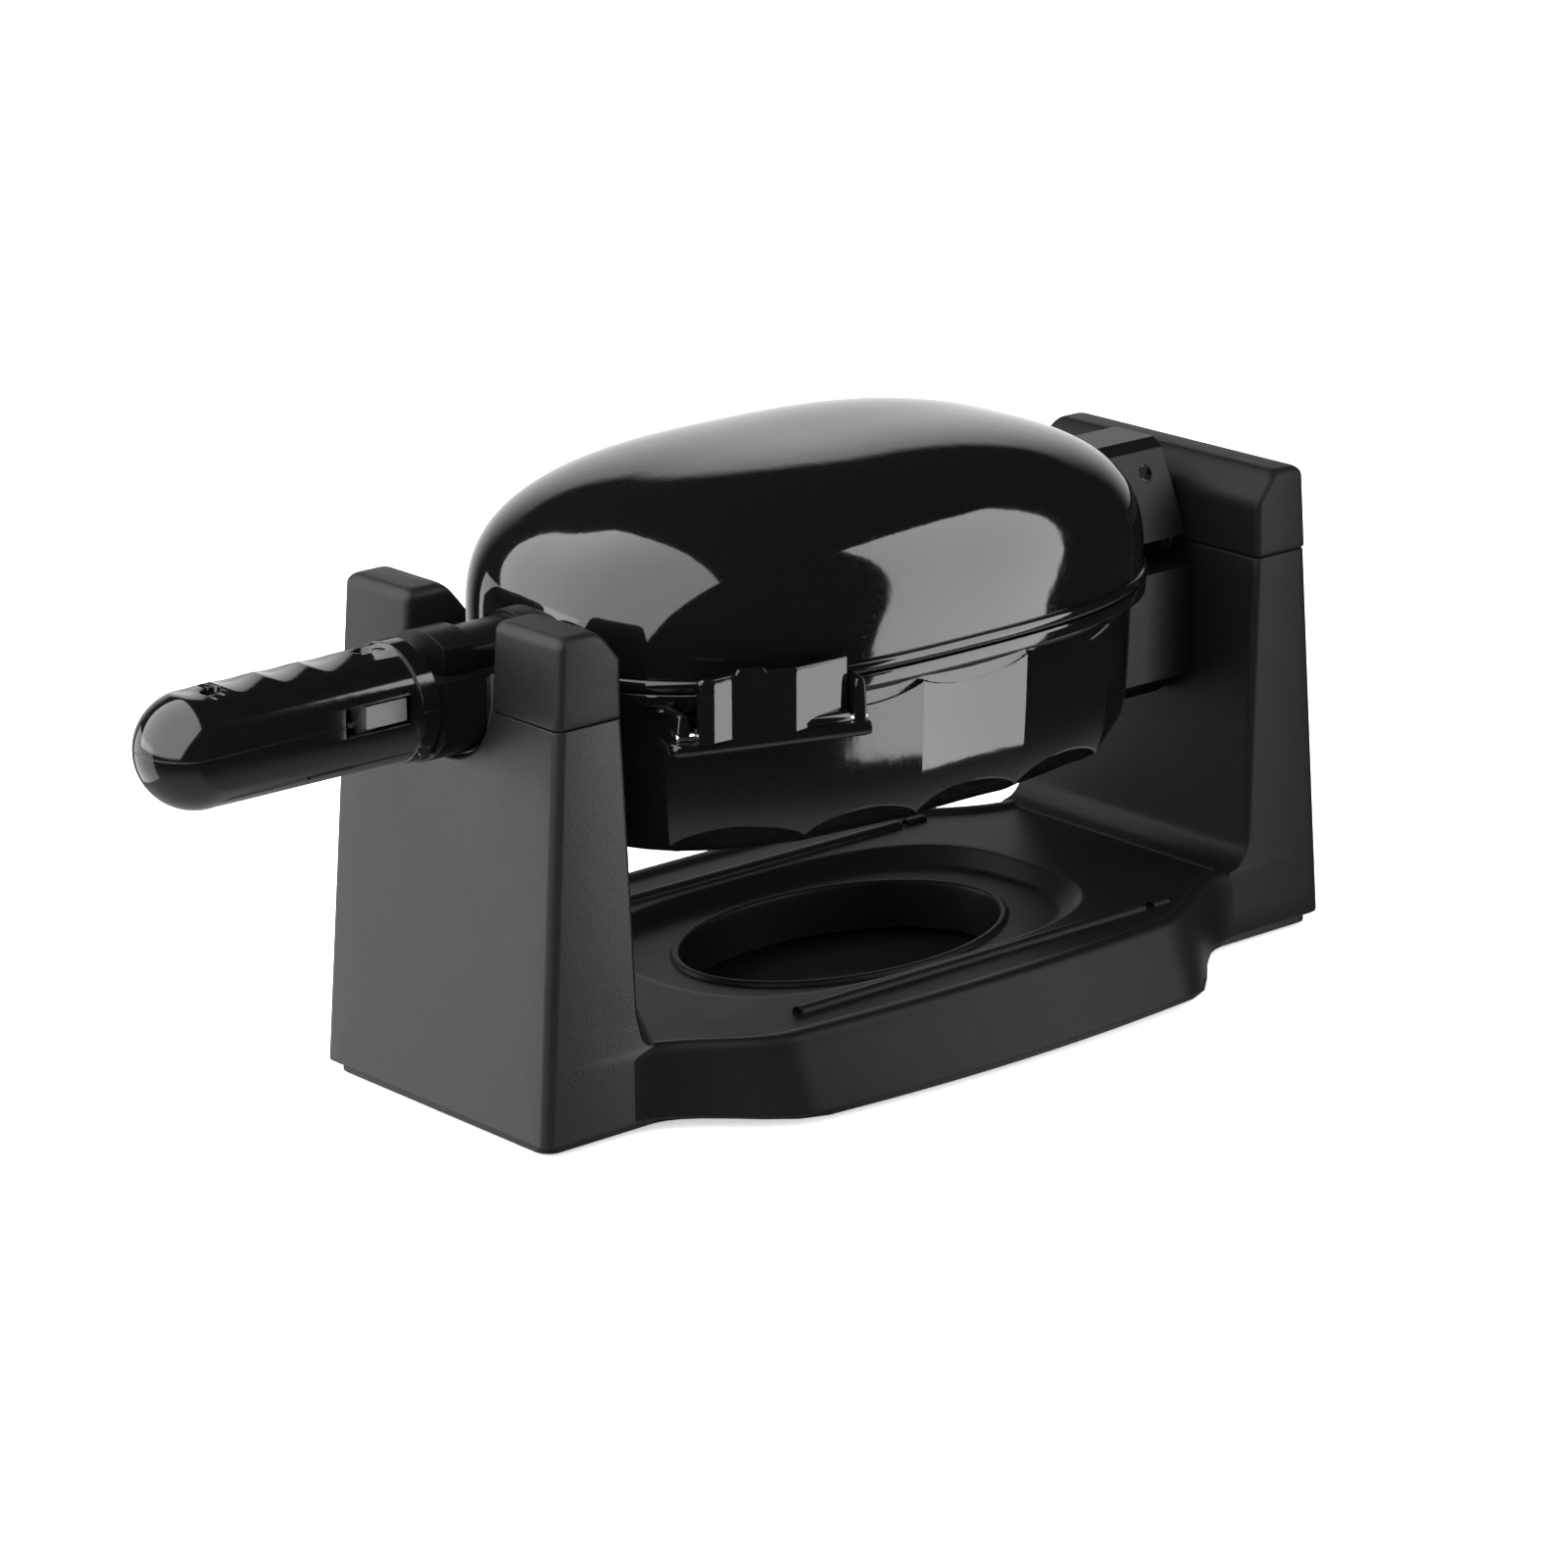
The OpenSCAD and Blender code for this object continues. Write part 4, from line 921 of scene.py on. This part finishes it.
def lock_coil():
    """Coil spring of the fold lock: a round wire carried along a helix of eleven turns, drawn at one
    length. The real spring gets shorter as the slide moves towards its fixed end, by a little more
    than the slide's way."""
    turns, coil_r, wire_r, shortening = 11, 1.65, 0.32, 9.4
    low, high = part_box("lock_spring")
    x0, x1 = low.x / MM + 0.4, high.x / MM - 0.4
    y0, z0 = (low.y + high.y) / 2 / MM, (low.z + high.z) / 2 / MM
    t = np.linspace(0, 1, turns * 16 + 1)[:, None]
    a = t * turns * 2 * np.pi
    wire = np.radians(np.linspace(0, 360, 8, endpoint=False))[None, :]
    reach = coil_r + wire_r * np.cos(wire)
    x = x0 + (x1 - x0) * t + wire_r * np.sin(wire)
    rows = np.stack([x, y0 + reach * np.cos(a), z0 + reach * np.sin(a)], -1)
    coil = skin("lock_coil", rows, "grip", WIRE, ["lock_spring"], angle=60)
    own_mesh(coil)


lock_coil()

# the material of each carried-over node, also of those that a skin stands for
KEPT = {
    "saddle_liner": NYLON, "shaft_bearing": NYLON, "rubber_feet": RUBBER, "cord_inlet": RUBBER,
    "under_screws": ZINC, "lower_posts": ZINC, "lid_posts": ZINC, "lower_plate": COAT,
    "upper_plate": COAT, "lower_heater": SHEATH, "upper_heater": SHEATH, "lower_pan": SHEET,
    "upper_pan": SHEET, "lower_thermostat": CERAMIC, "upper_thermostat": CERAMIC,
    "lower_plate_screws": ZINC, "upper_plate_screws": ZINC, "hinge_arm": ZINC, "hinge_pin": GROUND,
    "hollow_shaft": ALLOY, "flange_screws": ZINC, "shaft_ring": WIRE, "fold_pin": GROUND,
    "latch_pin": GROUND, "grip_screws": ZINC, "lock_slide": SLIDE, "lock_spring": WIRE,
    "base_housing": STAND, "under_plate": UNDER, "front_cap_near": CAP, "front_cap_far": CAP,
    "rear_cap": CAP, "lower_shell": SHELL, "lid_shell": SHELL, "lower_neck": HINGE,
    "lid_neck": HINGE, "lower_hinge_box": HINGE, "upper_hinge_box": HINGE, "grip_upper": GRIP,
    "grip_lower": GRIP, "latch_lever": SHELL, "latch_bracket": SHELL,
}
for node, obj in frame["nodes"].items():
    obj.data.materials.clear()
    obj.data.materials.append(KEPT.get(node, UNDER))


# ---- Floor and surroundings ----


def pale_floor():
    """Large plain floor in rings round the object, which curves up like a bowl far away from it:
    z = 0.4 (r - 5)^2 past a radius of 5 m."""
    spokes = 64
    r = np.concatenate([[0.02], np.linspace(0.5, 5, 10), np.linspace(5.2, 9, 20)])
    z = 0.4 * np.maximum(0, r - 5) ** 2
    a = np.linspace(0, 2 * np.pi, spokes, endpoint=False)
    x, y = r[:, None] * np.cos(a), r[:, None] * np.sin(a)
    points = np.stack([x, y, np.broadcast_to(z[:, None], x.shape)], -1).reshape(-1, 3)
    i, j = np.meshgrid(np.arange(len(r) - 1), np.arange(spokes), indexing="ij")
    k = (j + 1) % spokes
    ring, after = i * spokes, (i + 1) * spokes
    faces = np.stack([ring + j, after + j, after + k, ring + k], -1).reshape(-1, 4).tolist()
    faces.append(list(range(spokes)))
    mesh = bpy.data.meshes.new("floor")
    mesh.from_pydata(points.tolist(), [], faces)
    smooth(mesh)
    floor = bpy.data.objects.new("floor", mesh)
    bpy.context.scene.collection.objects.link(floor)
    f = Finish("floor_paint")
    f.drive(Base_Color=f.blend(f.noise(0.4, 2.0), 0.86, 0.9))
    f.fixed(Roughness=0.9, Specular_IOR_Level=0.1)
    f.fixed(Emission_Color=(1.0, 1.0, 1.0, 1.0), Emission_Strength=0.5)
    floor.data.materials.append(f.material)
    floor.visible_glossy = False


pale_floor()


def surroundings():
    """Studio surroundings: a bright backdrop low behind the object, some light from below and
    near darkness everywhere else. The strength follows a direction's height, and how far it
    points away from the camera."""
    world = bpy.data.worlds.new("studio")
    world.use_nodes = True
    bpy.context.scene.world = world
    tree = world.node_tree

    def ramp_node(socket, low, high, start, end):
        made = tree.nodes.new("ShaderNodeMapRange")
        made.interpolation_type = "SMOOTHSTEP"
        for key, value in (("From Min", low), ("From Max", high), ("To Min", start), ("To Max", end)):
            made.inputs[key].default_value = value
        tree.links.new(socket, made.inputs["Value"])
        return made.outputs[0]

    def maths(operation, first, second):
        made = tree.nodes.new("ShaderNodeMath")
        made.operation = operation
        tree.links.new(first, made.inputs[0])
        tree.links.new(second, made.inputs[1])
        return made.outputs[0]

    coords = tree.nodes.new("ShaderNodeTexCoord")
    split = tree.nodes.new("ShaderNodeSeparateXYZ")
    tree.links.new(coords.outputs["Generated"], split.inputs[0])
    share = tree.nodes.new("ShaderNodeVectorMath")
    share.operation = "DOT_PRODUCT"
    tree.links.new(coords.outputs["Generated"], share.inputs[0])
    share.inputs[1].default_value = (0.64, 0.77, 0.0)
    under = ramp_node(split.outputs["Z"], 0.42, 0.48, 1.0, 0.0)
    behind = ramp_node(share.outputs["Value"], 0.7, 1.0, 0.0, 1.15)
    ground = ramp_node(split.outputs["Z"], -0.75, -0.3, 0.7, 0.02)
    total = maths("ADD", maths("MULTIPLY", under, behind), ground)
    tree.links.new(total, tree.nodes["Background"].inputs["Strength"])
    tree.nodes["Background"].inputs["Color"].default_value = (1.0, 1.0, 1.0, 1.0)


surroundings()
